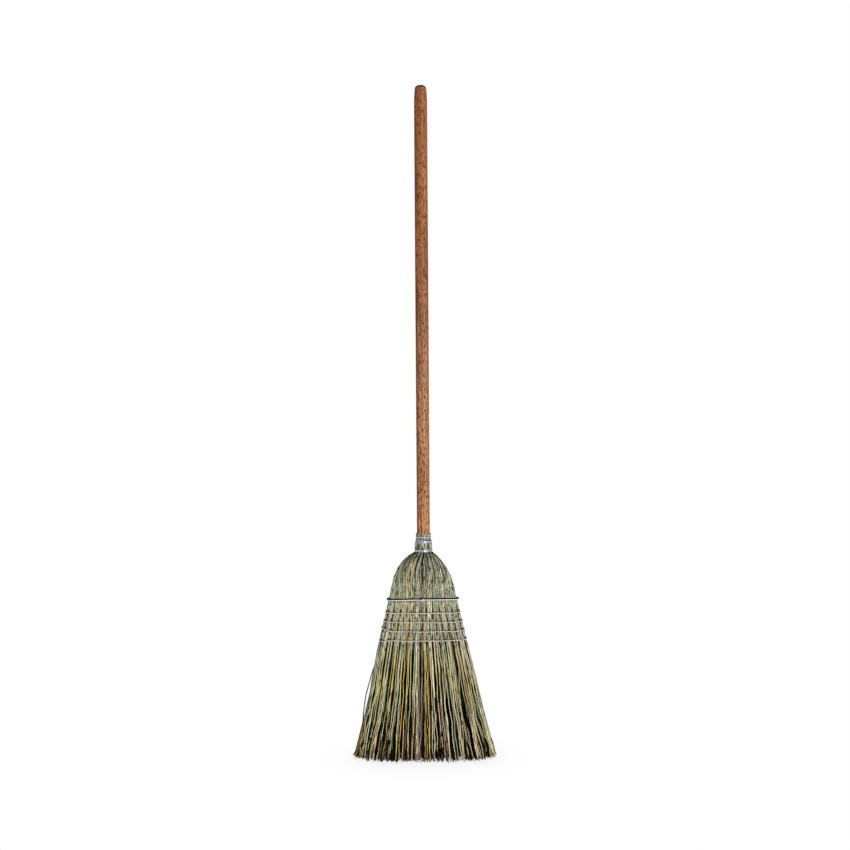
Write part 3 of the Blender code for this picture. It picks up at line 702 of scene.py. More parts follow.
def stitch_shade(tree, down, along, breaks):
    """Painted shade: how light fibre is just above the twine and round the stitches, from 0 to 1.

    Down and along count the rows and the stitches, as sewn_places gives them.
    """
    down, aside = off_whole(tree, down), maths(tree, "ABSOLUTE", off_whole(tree, along))
    over = maths(tree, "MULTIPLY", between(tree, down, -0.16, -0.12),
                 between(tree, down, -0.05, -0.02, 1.0, 0.0))
    ragged = maths(tree, "MULTIPLY", over, between(tree, breaks, 0.4, 0.62, 0.7, 0.3))
    tall = maths(tree, "MULTIPLY", between(tree, down, -0.27, -0.22),
                 between(tree, down, 0.18, 0.38, 1.0, 0.0))
    hole = maths(tree, "MULTIPLY", between(tree, aside, 0.07, 0.12, 0.97, 0.0), tall)
    return maths(tree, "SUBTRACT", 1.0, maths(tree, "MAXIMUM", ragged, hole))


def fibre_material(settings):
    """Dry plant fibre: each strand's own colour, streaked, with painted shade in dark gaps along
    the strands and round the stitches, and painted glints.
    """
    material, tree, shader = new_material("dry_fibre")
    tint = add(tree, "ShaderNodeAttribute", attribute_name="strand_colour").outputs["Color"]
    place = add(tree, "ShaderNodeAttribute", attribute_name="sewn_place").outputs["Vector"]
    down, along, own = add(tree, "ShaderNodeSeparateXYZ", {"Vector": place}).outputs
    shift = add(tree, "ShaderNodeCombineXYZ",
                {"X": maths(tree, "MULTIPLY", own, 300.0)}).outputs[0]
    mottle = noise(tree, (60, 60, 25), 2.0)
    breaks = noise(tree, (40, 40, 75), 2.0, 0.5, shift)
    streaks = noise(tree, (110, 110, 60), 3.0, shift=shift)
    held = between(tree, down, HELD_DOWN, LOOSE_DOWN, 1.0, 0.0)

    def by_hold(in_sweep, in_panel):
        return between(tree, held, 0, 1, in_sweep, in_panel)

    # Painted shade in gaps along the strands and round the stitches, and painted glints where the
    # breaks noise is high
    painted_gap_light = between(tree, down, 3.4, LOOSE_DOWN, settings.painted_gap_light, 0.35)
    light = stitch_shade(tree, down, along, breaks)
    for part in (between(tree, streaks, 0.3, 0.7, by_hold(0.8, 0.5), by_hold(1.15, 1.5)),
                 between(tree, mottle, 0.3, 0.7, 0.86, 1.12),
                 between(tree, breaks, by_hold(0.28, 0.38), by_hold(0.36, 0.43), painted_gap_light, 1.0),
                 between(tree, breaks, 0.52, 0.62, 1.0, 1.2)):
        light = maths(tree, "MULTIPLY", light, part)
    rough = settings.roughness
    feed(tree, shader, {
        "Base Color": blended(tree, 1.0, tint, light, "MULTIPLY"),
        "Roughness": between(tree, streaks, 0.3, 0.7, rough + 0.1, rough - 0.1),
        "Specular IOR Level": 0.02,
        "Normal": bumped(tree, streaks, 0.35, 0.4 * MM)})
    return material


# Strands

# Fibre colours as a screen shows them, after the share of strands that have each
FIBRE_COLOURS = (
    (0.27, 204, 206, 180),
    (0.17, 226, 226, 202),
    (0.18, 178, 182, 146),
    (0.08, 214, 200, 104),
    (0.08, 220, 190, 158),
    (0.06, 186, 198, 166),
    (0.10, 140, 138, 98),
    (0.05, 176, 174, 166),
    (0.03, 120, 84, 60),
)
# What the fibres' colours are multiplied by where the sweep begins and at the floor
SWEEP_TINTS = np.array(((1.0, 0.92, 0.9), (1.0, 0.91, 0.93)))
# The largest value that any channel of a strand's colour may have
BRIGHTEST = 0.95
# What the colours are raised to at the neck, in the sewn panel and in the sweep. Below one
# they grow paler and above one deeper
NECK_DEPTH, PANEL_DEPTH, SWEEP_DEPTH = 0.86, 1.08, 1.6
# The share of dark strands, and the bunch on the front that has fewer of them
DIM_SHARE, CALM_DIM_SHARE = 0.22, 0.08
CALM_SECTOR = 10
# The shares of strands with ragged ends, that are cut short, that bend and that stand off
RAGGED_SHARE, SHORT_SHARE, BENT_SHARE, FLARED_SHARE = 0.88, 0.04, 0.1, 0.08


def strand_colours(chance, total):
    """A colour for each strand, unlike that of the strand before it."""
    weights = np.array([weight for weight, *_ in FIBRE_COLOURS])
    palette = np.array([screen_colour(*shown) for _, *shown in FIBRE_COLOURS])
    picks = chance.choice(len(palette), size=total, p=weights / weights.sum())
    twins = np.flatnonzero(picks[1:] == picks[:-1]) + 1
    picks[twins] = chance.choice(len(palette), size=len(twins), p=weights / weights.sum())
    tones = palette[picks] * chance.uniform(0.52, 1.25, (total, 1))
    return tones * chance.uniform(0.94, 1.06, (total, 3))


def wander(chance, heights, long_wave, short_wave, short_share=0.4):
    """Two waves along each strand between -1 and 1, which neighbours nearly share."""
    total = heights.shape[0]
    phase = chance.uniform(0, FULL_TURN, (2, 1, 1))
    phase = phase + np.cumsum(chance.normal(0, 0.8, (2, total, 1)), axis=1)
    long_length = long_wave * chance.uniform(0.95, 1.05, (total, 1))
    short_length = short_wave * chance.uniform(0.97, 1.03, (total, 1))
    slow = np.sin(FULL_TURN * heights / long_length + phase[0])
    quick = np.sin(FULL_TURN * heights / short_length + phase[1])
    return mix(slow, quick, short_share)


def ring_levels(drops, sweep_rings, sides=(3.5, -3.5)):
    """Heights of the rings of a full strand, on both sides of the band and of each row.

    The drops are how far the rings above the band lie under the neck's foot.
    """
    above = [NECK_BOTTOM - drop * MM for drop in drops]
    held = [line + rise * MM for line in (BAND_HEIGHT, *ROW_HEIGHTS) for rise in sides]
    below = [PANEL_BOTTOM * part for part in np.linspace(0.9, 0.0, sweep_rings)]
    return np.array(above + held + below)


LONG_LEVELS = ring_levels((-0.6, 8, 19, 34, 54, 78), 9)
DEEP_LEVELS = ring_levels((-0.6, 12, 34, 66), 5, (0,))
BRANCH_RINGS = 17


def strand_heights(starts, tips, levels=None):
    """Ring heights for each strand, at the levels for one that runs the full length."""
    if starts is None:
        base = np.repeat(levels[None], len(tips), 0)
        lower = np.clip(base / PANEL_BOTTOM, 0, 1)
        return np.where(base < PANEL_BOTTOM, mix(tips[:, None], PANEL_BOTTOM, lower), base)
    return mix(starts[:, None], tips[:, None], np.linspace(0, 1, BRANCH_RINGS)[None])


def strand_tips(chance, total, ragged):
    """How high over the floor strands end. Most are ragged and a few are cut short."""
    uneven = np.abs(chance.normal(0, ragged, total))
    tips = 0.4 * MM + uneven * (chance.random(total) < RAGGED_SHARE)
    short = chance.random(total) < SHORT_SHARE
    return np.where(short, chance.uniform(10 * MM, 40 * MM, total), tips)


def strand_sway(settings, heights):
    """How far strands may stray at each height. The twine allows little of it."""
    fall = sweep_fall(heights)
    above = np.where(heights > BAND_HEIGHT, np.sin(math.pi * shoulder_fall(heights)), 0)
    loose = 0.3 * smooth(fall * 5) + 0.7 * fall
    sway = 0.3 * MM + 2.8 * MM * above + settings.tip_wander * loose
    return np.where(heights < PANEL_BOTTOM, sway, np.minimum(sway, 2.4 * MM))


def strand_lead(chance, heights, crossing):
    """How far strands run aside towards the floor. Some bend strongly."""
    one_each = (len(heights), 1)
    lead = chance.normal(0, 1.0, one_each) * crossing * sweep_fall(heights)
    bend_from = chance.uniform(0.25, 0.95, one_each) * PANEL_BOTTOM
    strong = chance.random(one_each) < BENT_SHARE
    bend = chance.normal(0, 1.0, one_each) * np.where(strong, 0.07, 0.01)
    return lead + bend * np.maximum(bend_from - heights, 0)


def strand_drops(chance, total, sinking, fall):
    """Which strands drop behind their neighbours: pairs above and single ones below."""
    order = np.arange(total)
    paired, single = (
        1.0 * (chance.random(total) < np.where(later, sinking[1], sinking[0]))[:, None]
        for later in (order % 4 > 1, order % 2 > 0))
    return mix(paired, single, smooth((fall - 0.35) / 0.5))


def strand_light(chance, heights, drops, shade, dim_share):
    """How light strands are at each height, before the painted shade on the head's sides. Dropped
    strands are painted darker as shade, and near the floor every strand keeps a little painted
    light.
    """
    fall, shoulder = sweep_fall(heights), shoulder_fall(heights)
    # Painted shade on strands that drop behind their neighbours
    darker = drops * mix(0.35, 0.97, smooth(fall * 14))
    darker = darker * mix(1.0, 0.94, smooth((fall - 0.8) / 0.2))
    light = mix(shade[0], shade[1], smooth(fall * 6)) * (1 - darker)
    dim = chance.random((len(heights), 1)) < dim_share
    light = light * np.where(dim, mix(0.06, 1.0, smooth(shoulder * 1.15)), 1.0)
    # Painted light near the floor, where light falls between the loose tips
    return np.maximum(light, 0.07 * smooth(1 - heights / (25 * MM)))


def strand_tones(colours, heights, light):
    """The colours along strands, which are paler at the neck and deeper in the sweep."""
    fall = sweep_fall(heights)[..., None]
    loose = smooth(fall * 6)
    tint = mix(1.0, mix(SWEEP_TINTS[0], SWEEP_TINTS[1], fall), loose)
    held = mix(NECK_DEPTH, PANEL_DEPTH, smooth(shoulder_fall(heights) * 1.6))[..., None]
    tones = colours[:, None] ** mix(held, SWEEP_DEPTH, loose) * tint * light[..., None]
    return tones / np.maximum(tones.max(-1, keepdims=True) / BRIGHTEST, 1)


def bunch_layer(chance, settings, sector, total, starts, levels, lift, inset, shade,
                width=1.0, sinking=(0.0, 0.0), ragged=5.5 * MM, crossing=1.0 * MM):
    """Paths, normals, widths and colours of one layer of a bunch's strands.

    From the neck down to the band the strands keep together in two stalks. The shade is how
    light the layer is in the sewn panel and in the sweep. The sinking holds two chances
    of dropping behind the neighbours, which pairs of strands take in turn where the sweep
    begins and single ones near the floor. The ragged ends lie about so far over the floor,
    and strands cross to the side by about the crossing.
    """
    place = sector + (np.arange(total) + chance.uniform(0.2, 0.8, total)) / total
    heights = strand_heights(starts, strand_tips(chance, total, ragged) + lift, levels)
    fall, shoulder = sweep_fall(heights), shoulder_fall(heights)
    sway = strand_sway(settings, heights)
    drift = sway * wander(chance, heights, 130 * MM, 46 * MM, 0.5)
    drift = drift + strand_lead(chance, heights, crossing)
    stalk = np.floor(place * 2)
    middle = (stalk + chance.uniform(0.4, 0.6)) / 2
    aside = np.clip(np.abs(place - middle) * 4, 0, 1)[:, None]
    stalk_light = chance.uniform(0.95, 1.5, 2)[stalk.astype(int) % 2][:, None]
    gather = mix(0.5, 0.03, smooth(shoulder * 1.2))
    gathered = mix(place[:, None], middle[:, None], gather)
    arc = np.maximum(arc_per_place(heights), 6 * MM)
    points, out = outline(gathered + drift / arc, heights)
    drops = strand_drops(chance, total, sinking, fall)
    depth = inset + 0.35 * MM + 0.4 * sway * (1 + wander(chance, heights, 150 * MM, 60 * MM))
    sunk = 4 * MM * drops * mix(0.22, 1.0, smooth(fall * 10))
    depth = depth * mix(0.45, 1.0, shoulder) + sunk
    flare = chance.uniform(3, 9, (total, 1)) * MM
    flare = flare * (chance.random((total, 1)) < FLARED_SHARE)
    flare = flare * fall ** 2 * out[..., 1] ** 2
    points = press(points + out * (flare - depth)[..., None], out, settings)
    sewn = sewn_places(points, settings)
    # Painted shade on the head's sides and under the neck wire, and between the stalks where the
    # strands gather at the neck
    light = painted_shade(points, out) * (1 - 1.3 * gather * smooth((aside - 0.5) / 0.4))
    light = light * mix(stalk_light, 1.0, smooth(shoulder * 1.3))
    points = lean(points)
    dim_share = CALM_DIM_SHARE if sector == CALM_SECTOR else DIM_SHARE
    light = light * strand_light(chance, heights, drops, shade, dim_share)
    colours = strand_colours(chance, total)
    vivid = 1 - colours.min(-1, keepdims=True) / colours.max(-1, keepdims=True)
    own = chance.uniform(0.65, 1.15, (total, 1)) * (1.08 - 0.25 * vivid)
    grow = mix(0.42, 1.0, smooth(shoulder * 1.2)) * mix(1.0, 1.1, fall)
    widths = settings.strand_width * width * own * grow
    tones = strand_tones(colours, heights, light)
    return points, out, widths, np.concatenate([tones, sewn], -1)


# X and Z of the loose strands that hang clear of the sweep, in millimetres from the top down
STRAY_PATHS = {
    "left_shoulder_bunch": (
        ((-99, 216), (-106, 198), (-112.5, 184), (-118.3, 162), (-124.8, 140), (-129, 118),
         (-131.5, 96), (-133.5, 74), (-134.5, 56), (-137, 39), (-142, 26), (-154, 5)),
        ((-128, 70), (-133, 48), (-139, 30), (-146, 12), (-150, 3)),
    ),
    "right_shoulder_bunch": (
        ((128, 84), (134.5, 62), (141, 42), (146.5, 29), (148, 16)),
        ((128, 70), (135, 48), (142, 28), (146, 10)),
    ),
}


STRAY_WIDTH = 3.0 * MM
STRAY_DEPTH = 8 * MM
STRAY_COLOUR = screen_colour(20, 16, 10)


def stray_strand(corners):
    """One loose strand along its corners, as a layer of its own."""
    x, height = np.array(corners).T * MM
    levels = np.linspace(height[0], height[-1], BRANCH_RINGS)
    across = np.interp(-levels, -height, x)
    points = np.stack([across, 0 * across - STRAY_DEPTH, levels], -1)[None]
    out = np.zeros_like(points)
    out[..., 1] = -1
    widths = np.full((1, BRANCH_RINGS), STRAY_WIDTH)
    tones = np.ones_like(points) * STRAY_COLOUR
    return points, out, widths, np.concatenate([tones, np.full_like(points, 0.5)[..., :2]], -1)


def join_layers(layers):
    return [np.concatenate(parts) for parts in zip(*layers)]


def bunch_node(sector):
    """The name of the bunch that fills a sector of the head."""
    if sector % HALF_SECTORS == 0:
        return ("right" if sector == 0 else "left") + "_shoulder_bunch"
    if sector < HALF_SECTORS:
        return f"back_cover_bunch_{sector}"
    return f"front_cover_bunch_{sector - HALF_SECTORS}"


# Height over the neck's foot and centre radius of the neck wire at each quarter turn from
# the back, by way of the left side, the front and the right side
NECK_WIRE_LEVELS = (
    (0, 1.4, 18.4), (0.5, 2.6, 18.2), (1, 3.9, 18.2), (1.5, 5.2, 18.1), (1.75, 6.1, 18.1),
    (2, 13.0, 18.0), (2.25, 20.8, 17.5), (2.5, 21.4, 17.4), (2.75, 21.9, 17.4),
    (3, 24.4, 17.0), (3.25, 26.4, 16.0), (3.38, 25.4, 16.2), (3.5, 24.2, 16.8),
    (3.75, 24.2, 16.8), (4, 28.4, 16.2), (4.25, 32.3, 15.8), (4.5, 32.6, 15.8),
    (4.75, 32.8, 15.8), (5, 33.5, 16.2))
WIRE_STEPS_PER_TURN = 64


def neck_wire_path():
    """The binding wire from the lower nail to the upper one, five turns further up."""
    turns, heights, radii = np.array(NECK_WIRE_LEVELS).T
    steps = np.linspace(0, turns[-1], int(turns[-1]) * WIRE_STEPS_PER_TURN + 1)
    ease = 8
    kernel = np.hanning(2 * ease + 3)[1:-1]
    kernel /= kernel.sum()

    def eased(values):
        padded = np.pad(np.interp(steps, turns, values), ease, mode="edge")
        return np.convolve(padded, kernel, mode="valid")

    angle = math.pi / 2 + FULL_TURN * steps
    radius = eased(radii) * MM
    height = NECK_BOTTOM + eased(heights) * MM
    path = np.stack([radius * np.cos(angle), radius * np.sin(angle), height], -1)
    return path[3:-3]


STALK_RINGS = 22
STALKS_PER_BUNCH = 3
STALK_COLOUR = np.array(screen_colour(176, 196, 156))
PALE_STALK_COLOUR = np.array(screen_colour(216, 216, 190))
CUT_COLOUR = np.array(screen_colour(206, 220, 190))


def wire_squeeze(turn, heights):
    """How hard the neck wire presses stalks at their angles and heights, from 0 to 1."""
    wire = neck_wire_path()
    around = np.arctan2(wire[:, 1], wire[:, 0])
    squeeze = 0 * heights
    for index in np.ndindex(heights.shape):
        gap = np.abs(np.angle(np.exp(1j * (around - turn[index]))))
        squeeze[index] = bell(wire[gap < 0.06, 2] - heights[index], 1.7 * MM).max()
    return squeeze


def stalk_tones(chance, squeeze, pale, hidden):
    """Colours along stalks, with painted shade under the wire and on the hidden lower part of the
    upper ring, and fresh at the cut end.
    """
    total = len(squeeze)
    tones = strand_colours(chance, total)[:, None] * np.ones((1, STALK_RINGS, 1))
    tones = mix(tones, STALK_COLOUR, 0.66) * chance.uniform(0.55, 1.3, (total, 1, 1))
    lost = chance.random((total, 1)) < 0.16
    tones = mix(tones, PALE_STALK_COLOUR, pale[..., None])
    # Painted shade under the wire and on the hidden lower part of the upper ring's stalks
    tones *= (mix(1.0, 0.4, squeeze) * np.where(hidden, 0.2, 1.0))[..., None]
    tones[:, -2:] = mix(tones[:, -2:], CUT_COLOUR, 0.6)
    return tones * np.where(lost & (pale < 1), 0.4, 1.0)[..., None]


def stalk_ring(chance, sector, top, outer, inner):
    """The cut stalks of one bunch, which stand side by side on the neck under the wire.

    One stalk at the middle of the front is paler than the rest and stands aslant.
    """
    total = STALKS_PER_BUNCH
    lower = top < NECK_TOP
    edges = np.linspace(0, 1, total + 1)
    edges[1:-1] += chance.uniform(-0.08, 0.08, total - 1)
    middles = (edges[1:] + edges[:-1]) / 2
    angles = (sector - 0.5 + middles) * SECTOR_ANGLE + chance.uniform(-0.02, 0.02, total)
    tops = top + chance.uniform(-1.3, 0.9, total) * MM
    levels = np.concatenate([np.linspace(0, 0.985, STALK_RINGS - 2), [0.994, 1.0]])[None]
    heights = mix(NECK_BOTTOM + 0.3 * MM, tops[:, None], levels)
    slant = chance.normal(0, 0.05, (total, 1)) * (levels - 0.3)
    pale = np.zeros((total, 1))
    if bunch_node(sector) == "front_cover_bunch_3" and lower:
        pale[total // 2] = 1
        slant = slant * (1 - pale) - pale * 0.3 * (levels - 0.6)
    bow = 0.02 * np.sin(levels * 5 + chance.uniform(0, 6, (total, 1)))
    turn = angles[:, None] + slant + bow
    squeeze = wire_squeeze(turn, heights)
    radius = (outer + inner) / 2 + chance.uniform(-0.3, 0.15, (total, 1)) * MM
    radius = radius - 1.1 * MM * squeeze
    out = np.stack([np.cos(turn), np.sin(turn), 0 * turn], -1)
    points = np.stack([radius * np.cos(turn), radius * np.sin(turn), heights], -1)
    pitch = np.diff(edges)[:, None] * SECTOR_ANGLE * (outer + inner) / 2
    bumps = 1 + 0.08 * np.sin(levels * 9 + chance.uniform(0, 6, (total, 1)))
    end = np.where(levels >= 1.0, 0.86, 1.0)
    narrowest, widest = (0.5, 0.82) if lower else (0.84, 1.02)
    widths = pitch * chance.uniform(narrowest, widest, (total, 1)) * bumps * end
    hidden = (heights < NECK_STEP - 1 * MM) & (not lower)
    return points, out, widths, stalk_tones(chance, squeeze, pale, hidden)


# The layers of each kind of strand from the outside in, as options of bunch_layer. Those
# marked few have as many strands as the setting for branches says
# The inner layers are coloured nearly black, as painted shade between the outer strands
STRAND_LAYERS = {
    "long": (
        dict(inset=0.0, shade=(1.42, 2.25), sinking=(0.06, 0.97), ragged=4 * MM),
        dict(inset=1.3 * MM, width=0.9, shade=(0.5, 0.02), sinking=(0.5, 0.5)),
    ),
    "deep": (
        dict(inset=2.6 * MM, lift=1 * MM, width=1.1, shade=(0.1, 0.004)),
        dict(inset=4.4 * MM, lift=2 * MM, width=1.3, shade=(0.06, 0.004)),
    ),
    "branch": (
        dict(few=True, inset=0.0, width=0.9, shade=(1.4, 2.2), sinking=(0.0, 0.2),
             ragged=8 * MM, crossing=6 * MM),
        dict(few=True, inset=2.0 * MM, width=0.8, shade=(0.3, 0.2), sinking=(0.4, 0.4),
             crossing=7 * MM),
        dict(inset=4.4 * MM, lift=2 * MM, width=0.9, shade=(0.02, 0.006)),
        dict(inset=7 * MM, lift=3 * MM, width=1.1, shade=(0.006, 0.005)),
        dict(inset=10 * MM, lift=4 * MM, width=1.3, shade=(0.005, 0.005)),
    ),
}
FULL_LEVELS = {"long": LONG_LEVELS, "deep": DEEP_LEVELS}
# Heights at which branches start
BRANCH_STARTS = 246 * MM, 264 * MM
# How many more strands a shoulder bunch has, and how much higher they end
SIDE_STRANDS, SIDE_LIFT = 2.1, 2.5 * MM
# How light the edges of the round stalks are painted beside their ridges, as painted shade, and how
# thick they are
STALK_EDGE_LIGHT, STALK_THICKNESS = 0.12, 0.72
# How light the hidden strands of the inner bunch are, near black as painted shade, and how wide
INNER_LIGHT, INNER_WIDTH = 0.006, 3.2 * MM
# Where on the map each kind of strand lies
MAP_SHARES = {"long": (0.0, 0.6), "deep": (0.6, 0.75), "branch": (0.75, 0.97),
              "stalk": (0.97, 1.0)}


class OBJECT_OT_broom_fibres(bpy.types.Operator):
    """Grow the cover and shoulder bunches strand by strand, and the darker bunch inside them"""

    bl_idname = "object.broom_fibres"
    bl_label = "Broom Fibres"
    bl_options = {"REGISTER", "UNDO"}

    def execute(self, context):
        settings = context.scene.broom_fibres
        material = fibre_material(settings)
        templates = {
            "long": strand_template(3, len(LONG_LEVELS) - 1, 90),
            "deep": strand_template(3, len(DEEP_LEVELS) - 1, 90),
            "branch": strand_template(3, BRANCH_RINGS - 1, 90),
            "stalk": strand_template(8, STALK_RINGS - 1),
        }
        for sector in range(SECTORS):
            self.make_bunch(settings, material, templates, sector)
        self.make_inner(settings, material, templates["branch"])
        return {"FINISHED"}

    def make_bunch(self, settings, material, templates, sector):
        """One bunch: its long strands, those deep behind them, branches and cut stalks."""
        chance = np.random.RandomState(BUNCH_SEED + sector)
        node = bunch_node(sector)
        layers = {kind: join_layers([self.make_layer(chance, settings, sector, kind, **options)
                                     for options in STRAND_LAYERS[kind]])
                  for kind in STRAND_LAYERS}
        for strays in STRAY_PATHS.get(node, ()):
            layers["branch"] = join_layers([layers["branch"], stray_strand(strays)])
        layers["stalk"] = join_layers([
            stalk_ring(chance, sector, NECK_TOP, NECK_UPPER_RADIUS, HANDLE_RADIUS),
            stalk_ring(chance, sector, NECK_STEP, NECK_LOWER_RADIUS, NECK_UPPER_RADIUS),
        ])
        edge_lights = {"long": settings.painted_edge_light, "deep": 1.0, "branch": settings.painted_edge_light,
                 "stalk": STALK_EDGE_LIGHT}
        pieces = [
            lay_strands(f"{node}_{kind}", templates[kind], layer,
                        STALK_THICKNESS if kind == "stalk" else settings.strand_thickness,
                        *MAP_SHARES[kind], edge_lights[kind])
            for kind, layer in layers.items()]
        place_piece(joined(node + "_fibres", *pieces), material, "cover_fibre", node)

    def make_layer(self, chance, settings, sector, kind, few=False, lift=0.0, **options):
        """One layer of strands. The shoulder bunches have more of them, cut a little higher."""
        at_side = sector % HALF_SECTORS == 0
        total = settings.branches_per_bunch if few else settings.strands_per_bunch
        total = round(total * (SIDE_STRANDS if at_side else 1.0))
        levels = FULL_LEVELS.get(kind)
        starts = chance.uniform(*BRANCH_STARTS, total) if levels is None else None
        lift = (SIDE_LIFT if at_side else 0.0) + lift
        return bunch_layer(chance, settings, sector, total, starts, levels, lift, **options)

    def make_inner(self, settings, material, template):
        """The mass of fibre that shows between the outer strands and from below, coloured near
        black as painted shade.
        """
        chance = np.random.RandomState(INNER_SEED)
        total = settings.inner_strands
        across = chance.uniform(-0.93, 0.93, total)
        through = chance.uniform(-0.78, 0.78, total) * np.sqrt(1 - 0.6 * across ** 4)
        tips = 3 * MM + np.abs(chance.normal(0, 7 * MM, total))
        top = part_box("inner_bunch")[1].z
        starts = top - chance.uniform(0, 6 * MM, total)
        heights = strand_heights(starts, tips)
        fall = sweep_fall(heights)
        sway = settings.tip_wander * fall
        x = across[:, None] * (half_width(heights) - 6 * MM)
        x = x + sway * wander(chance, heights, 190 * MM, 70 * MM)
        y = through[:, None] * (half_depth(heights) - 5 * MM)
        y = y + sway * wander(chance, heights, 160 * MM, 60 * MM)
        turn = np.arctan2(through, across)[:, None] + 0 * heights
        bound = HANDLE_RADIUS + 2.2 * MM
        spread = smooth((top - 20 * MM - heights) / (90 * MM))
        x = mix(bound * np.cos(turn), x, spread)
        y = mix(bound * np.sin(turn), y, spread)
        points = lean(np.stack([x, y, heights], -1))
        out = np.zeros_like(points)
        out[..., 1] = np.where(through >= 0, 1, -1)[:, None]
        widths = INNER_WIDTH * chance.uniform(0.8, 1.4, (total, 1)) * mix(1.0, 0.75, fall)
        tones = strand_colours(chance, total)[:, None] * np.ones((1, heights.shape[1], 1))
        layer = points, out, widths, tones * INNER_LIGHT
        piece = lay_strands("inner_bunch_fibres", template, layer, 1.0)
        place_piece(piece, material, "inner_fibre", "inner_bunch")


# Wire, twine and nails

def wire_material(name, settings, metal, spangled, shade_line, metallic):
    """Galvanised wire: bright zinc with fine spangles, and painted shade along its upper side,
    which is coloured near black, rough and not metallic.
    """
    material, tree, shader = new_material(name)
    spangle = noise(tree, (500, 500, 500), 4.0)
    zinc = blended(tree, between(tree, spangle, 0.35, 0.65), metal,
                   [spangled * value for value in metal])
    patchy = maths(tree, "ADD", coordinate(tree, "Normal", "Z"),
                   between(tree, spangle, 0.3, 0.7, -0.08, 0.08))
    # Painted shade on the wire's upper side
    shaded_upper_side = between(tree, patchy, shade_line, shade_line + 0.12)
    feed(tree, shader, {
        "Base Color": blended(tree, shaded_upper_side, zinc, settings.painted_upper_shade),
        "Roughness": between(tree, shaded_upper_side, 0, 1, 0.34, 0.75),
        "Metallic": between(tree, shaded_upper_side, 0, 1, metallic, 0.0),
        "Specular IOR Level": 0.05,
        "Normal": bumped(tree, spangle, 0.2, 0.1 * MM)})
    return material


def twine_material(settings):
    """Faded two-ply twine: soft, matt and uneven in colour, with painted shade along its upper
    side.
    """
    material, tree, shader = new_material("faded_twine")
    patches = noise(tree, (90, 90, 90))
    hairs = noise(tree, (2400, 2400, 2400), 2.0)
    faded = between(tree, maths(tree, "ADD", patches, hairs), 0.8, 1.25)
    tone = blended(tree, faded, settings.twine_shade, settings.twine_colour)
    upper_shade_amount = between(tree, coordinate(tree, "Normal", "Z"), 0.45, 0.75, 0.0, 0.9)
    feed(tree, shader, {
        "Base Color": blended(tree, upper_shade_amount, tone, settings.twine_upper_shade),
        "Roughness": 0.9,
        "Specular IOR Level": 0.1,
        "Normal": bumped(tree, hairs, 0.5, 0.3 * MM)})
    return material


def nail_material():
    """Plain steel with specks of rust."""
    material, tree, shader = new_material("nail_steel")
    specks = noise(tree, (900, 900, 900), 4.0)
    rust = between(tree, specks, 0.52, 0.62)
    feed(tree, shader, {
        "Base Color": blended(tree, rust, screen_colour(150, 150, 156),
                              screen_colour(96, 62, 44)),
        "Roughness": between(tree, rust, 0, 1, 0.35, 0.8),
        "Metallic": between(tree, rust, 0, 1, 1.0, 0.2),
        "Normal": bumped(tree, specks, 0.2, 0.1 * MM)})
    return material


# Where the ends of the band lap at the front
LAP_LEFT, LAP_RIGHT = -8 * MM, -1 * MM
FRONT_MIDDLE = 9.5


def band_path(settings):
    """The band's closed round with its two ends lapped and twisted at the front."""
    steps = np.linspace(0, SECTORS, 721)[:-1]
    points, out = outline(steps, np.full(len(steps), BAND_HEIGHT))
    snug = mix(-1.0, -1.3, on_face(out)) * MM
    points = points + out * (settings.band_radius + snug)[:, None]
    points = points[np.argsort(np.mod(steps - FRONT_MIDDLE, SECTORS))]
    x = points[:, 0]
    front = points[:, 1] < 0
    sag = np.where(front, 1.3 * MM * (1 - (x / 76 / MM) ** 2), 0) + 0.007 * x
    points[:, 2] += sag - 0.09 * (points[:, 1] + BAND_HALF_DEPTH)
    points = lean(points)
    level = BAND_HEIGHT + 1.3 * MM
    deep = points[front, 1].min()
    inside = front & (x > LAP_LEFT) & (x < LAP_RIGHT)
    points = points[~inside]
    front = points[:, 1] < 0
    start = int(np.flatnonzero(front & (points[:, 0] >= LAP_RIGHT))[0])
    points = np.roll(points, -start, axis=0)
    lap = np.linspace(0, 1, 17)
    reach = settings.band_radius * 0.85

    def lapped(phase):
        twist = math.pi * lap + phase
        return np.stack([mix(LAP_LEFT, LAP_RIGHT, lap),
                         deep - 0.2 * MM + 0.55 * reach * np.sin(twist),
                         level + reach * np.cos(twist)], -1)

    return np.concatenate([lapped(0.0), points, lapped(math.pi)])


def twine_paths(row, settings, fibres):
    """Two plies of twine round the panel, held to the fibre between stitches and at them."""
    steps = np.linspace(0, SECTORS, 1441)[:-1]
    points, out = outline(steps, np.full(len(steps), ROW_HEIGHTS[row]))
    x = points[:, 0].copy()
    face = on_face(out)
    _, pull = stitch_pull(row, x, fibres.tuft_pitch)
    points += out * (mix(-0.9, 0.15, face) * MM - 1.5 * MM * pull ** 2 * face)[:, None]
    points[:, 2] = row_line(row, x)
    points = lean(points)
    along = unit(np.roll(points, -1, 0) - np.roll(points, 1, 0))
    travelled = np.concatenate([[0], np.cumsum(np.linalg.norm(np.diff(points, axis=0), axis=1))])
    whole = travelled[-1] + np.linalg.norm(points[0] - points[-1])
    turns = round(whole / (5 * MM))
    up = np.array([0, 0, 1.0])
    aside = np.cross(along, up)
    paths = []
    for phase in (0, math.pi):
        angle = (FULL_TURN * turns * travelled / whole + phase)[:, None]
        paths.append(points + settings.twine_radius * 0.5 * (aside * np.cos(angle)
                                                             + up * np.sin(angle)))
    return paths


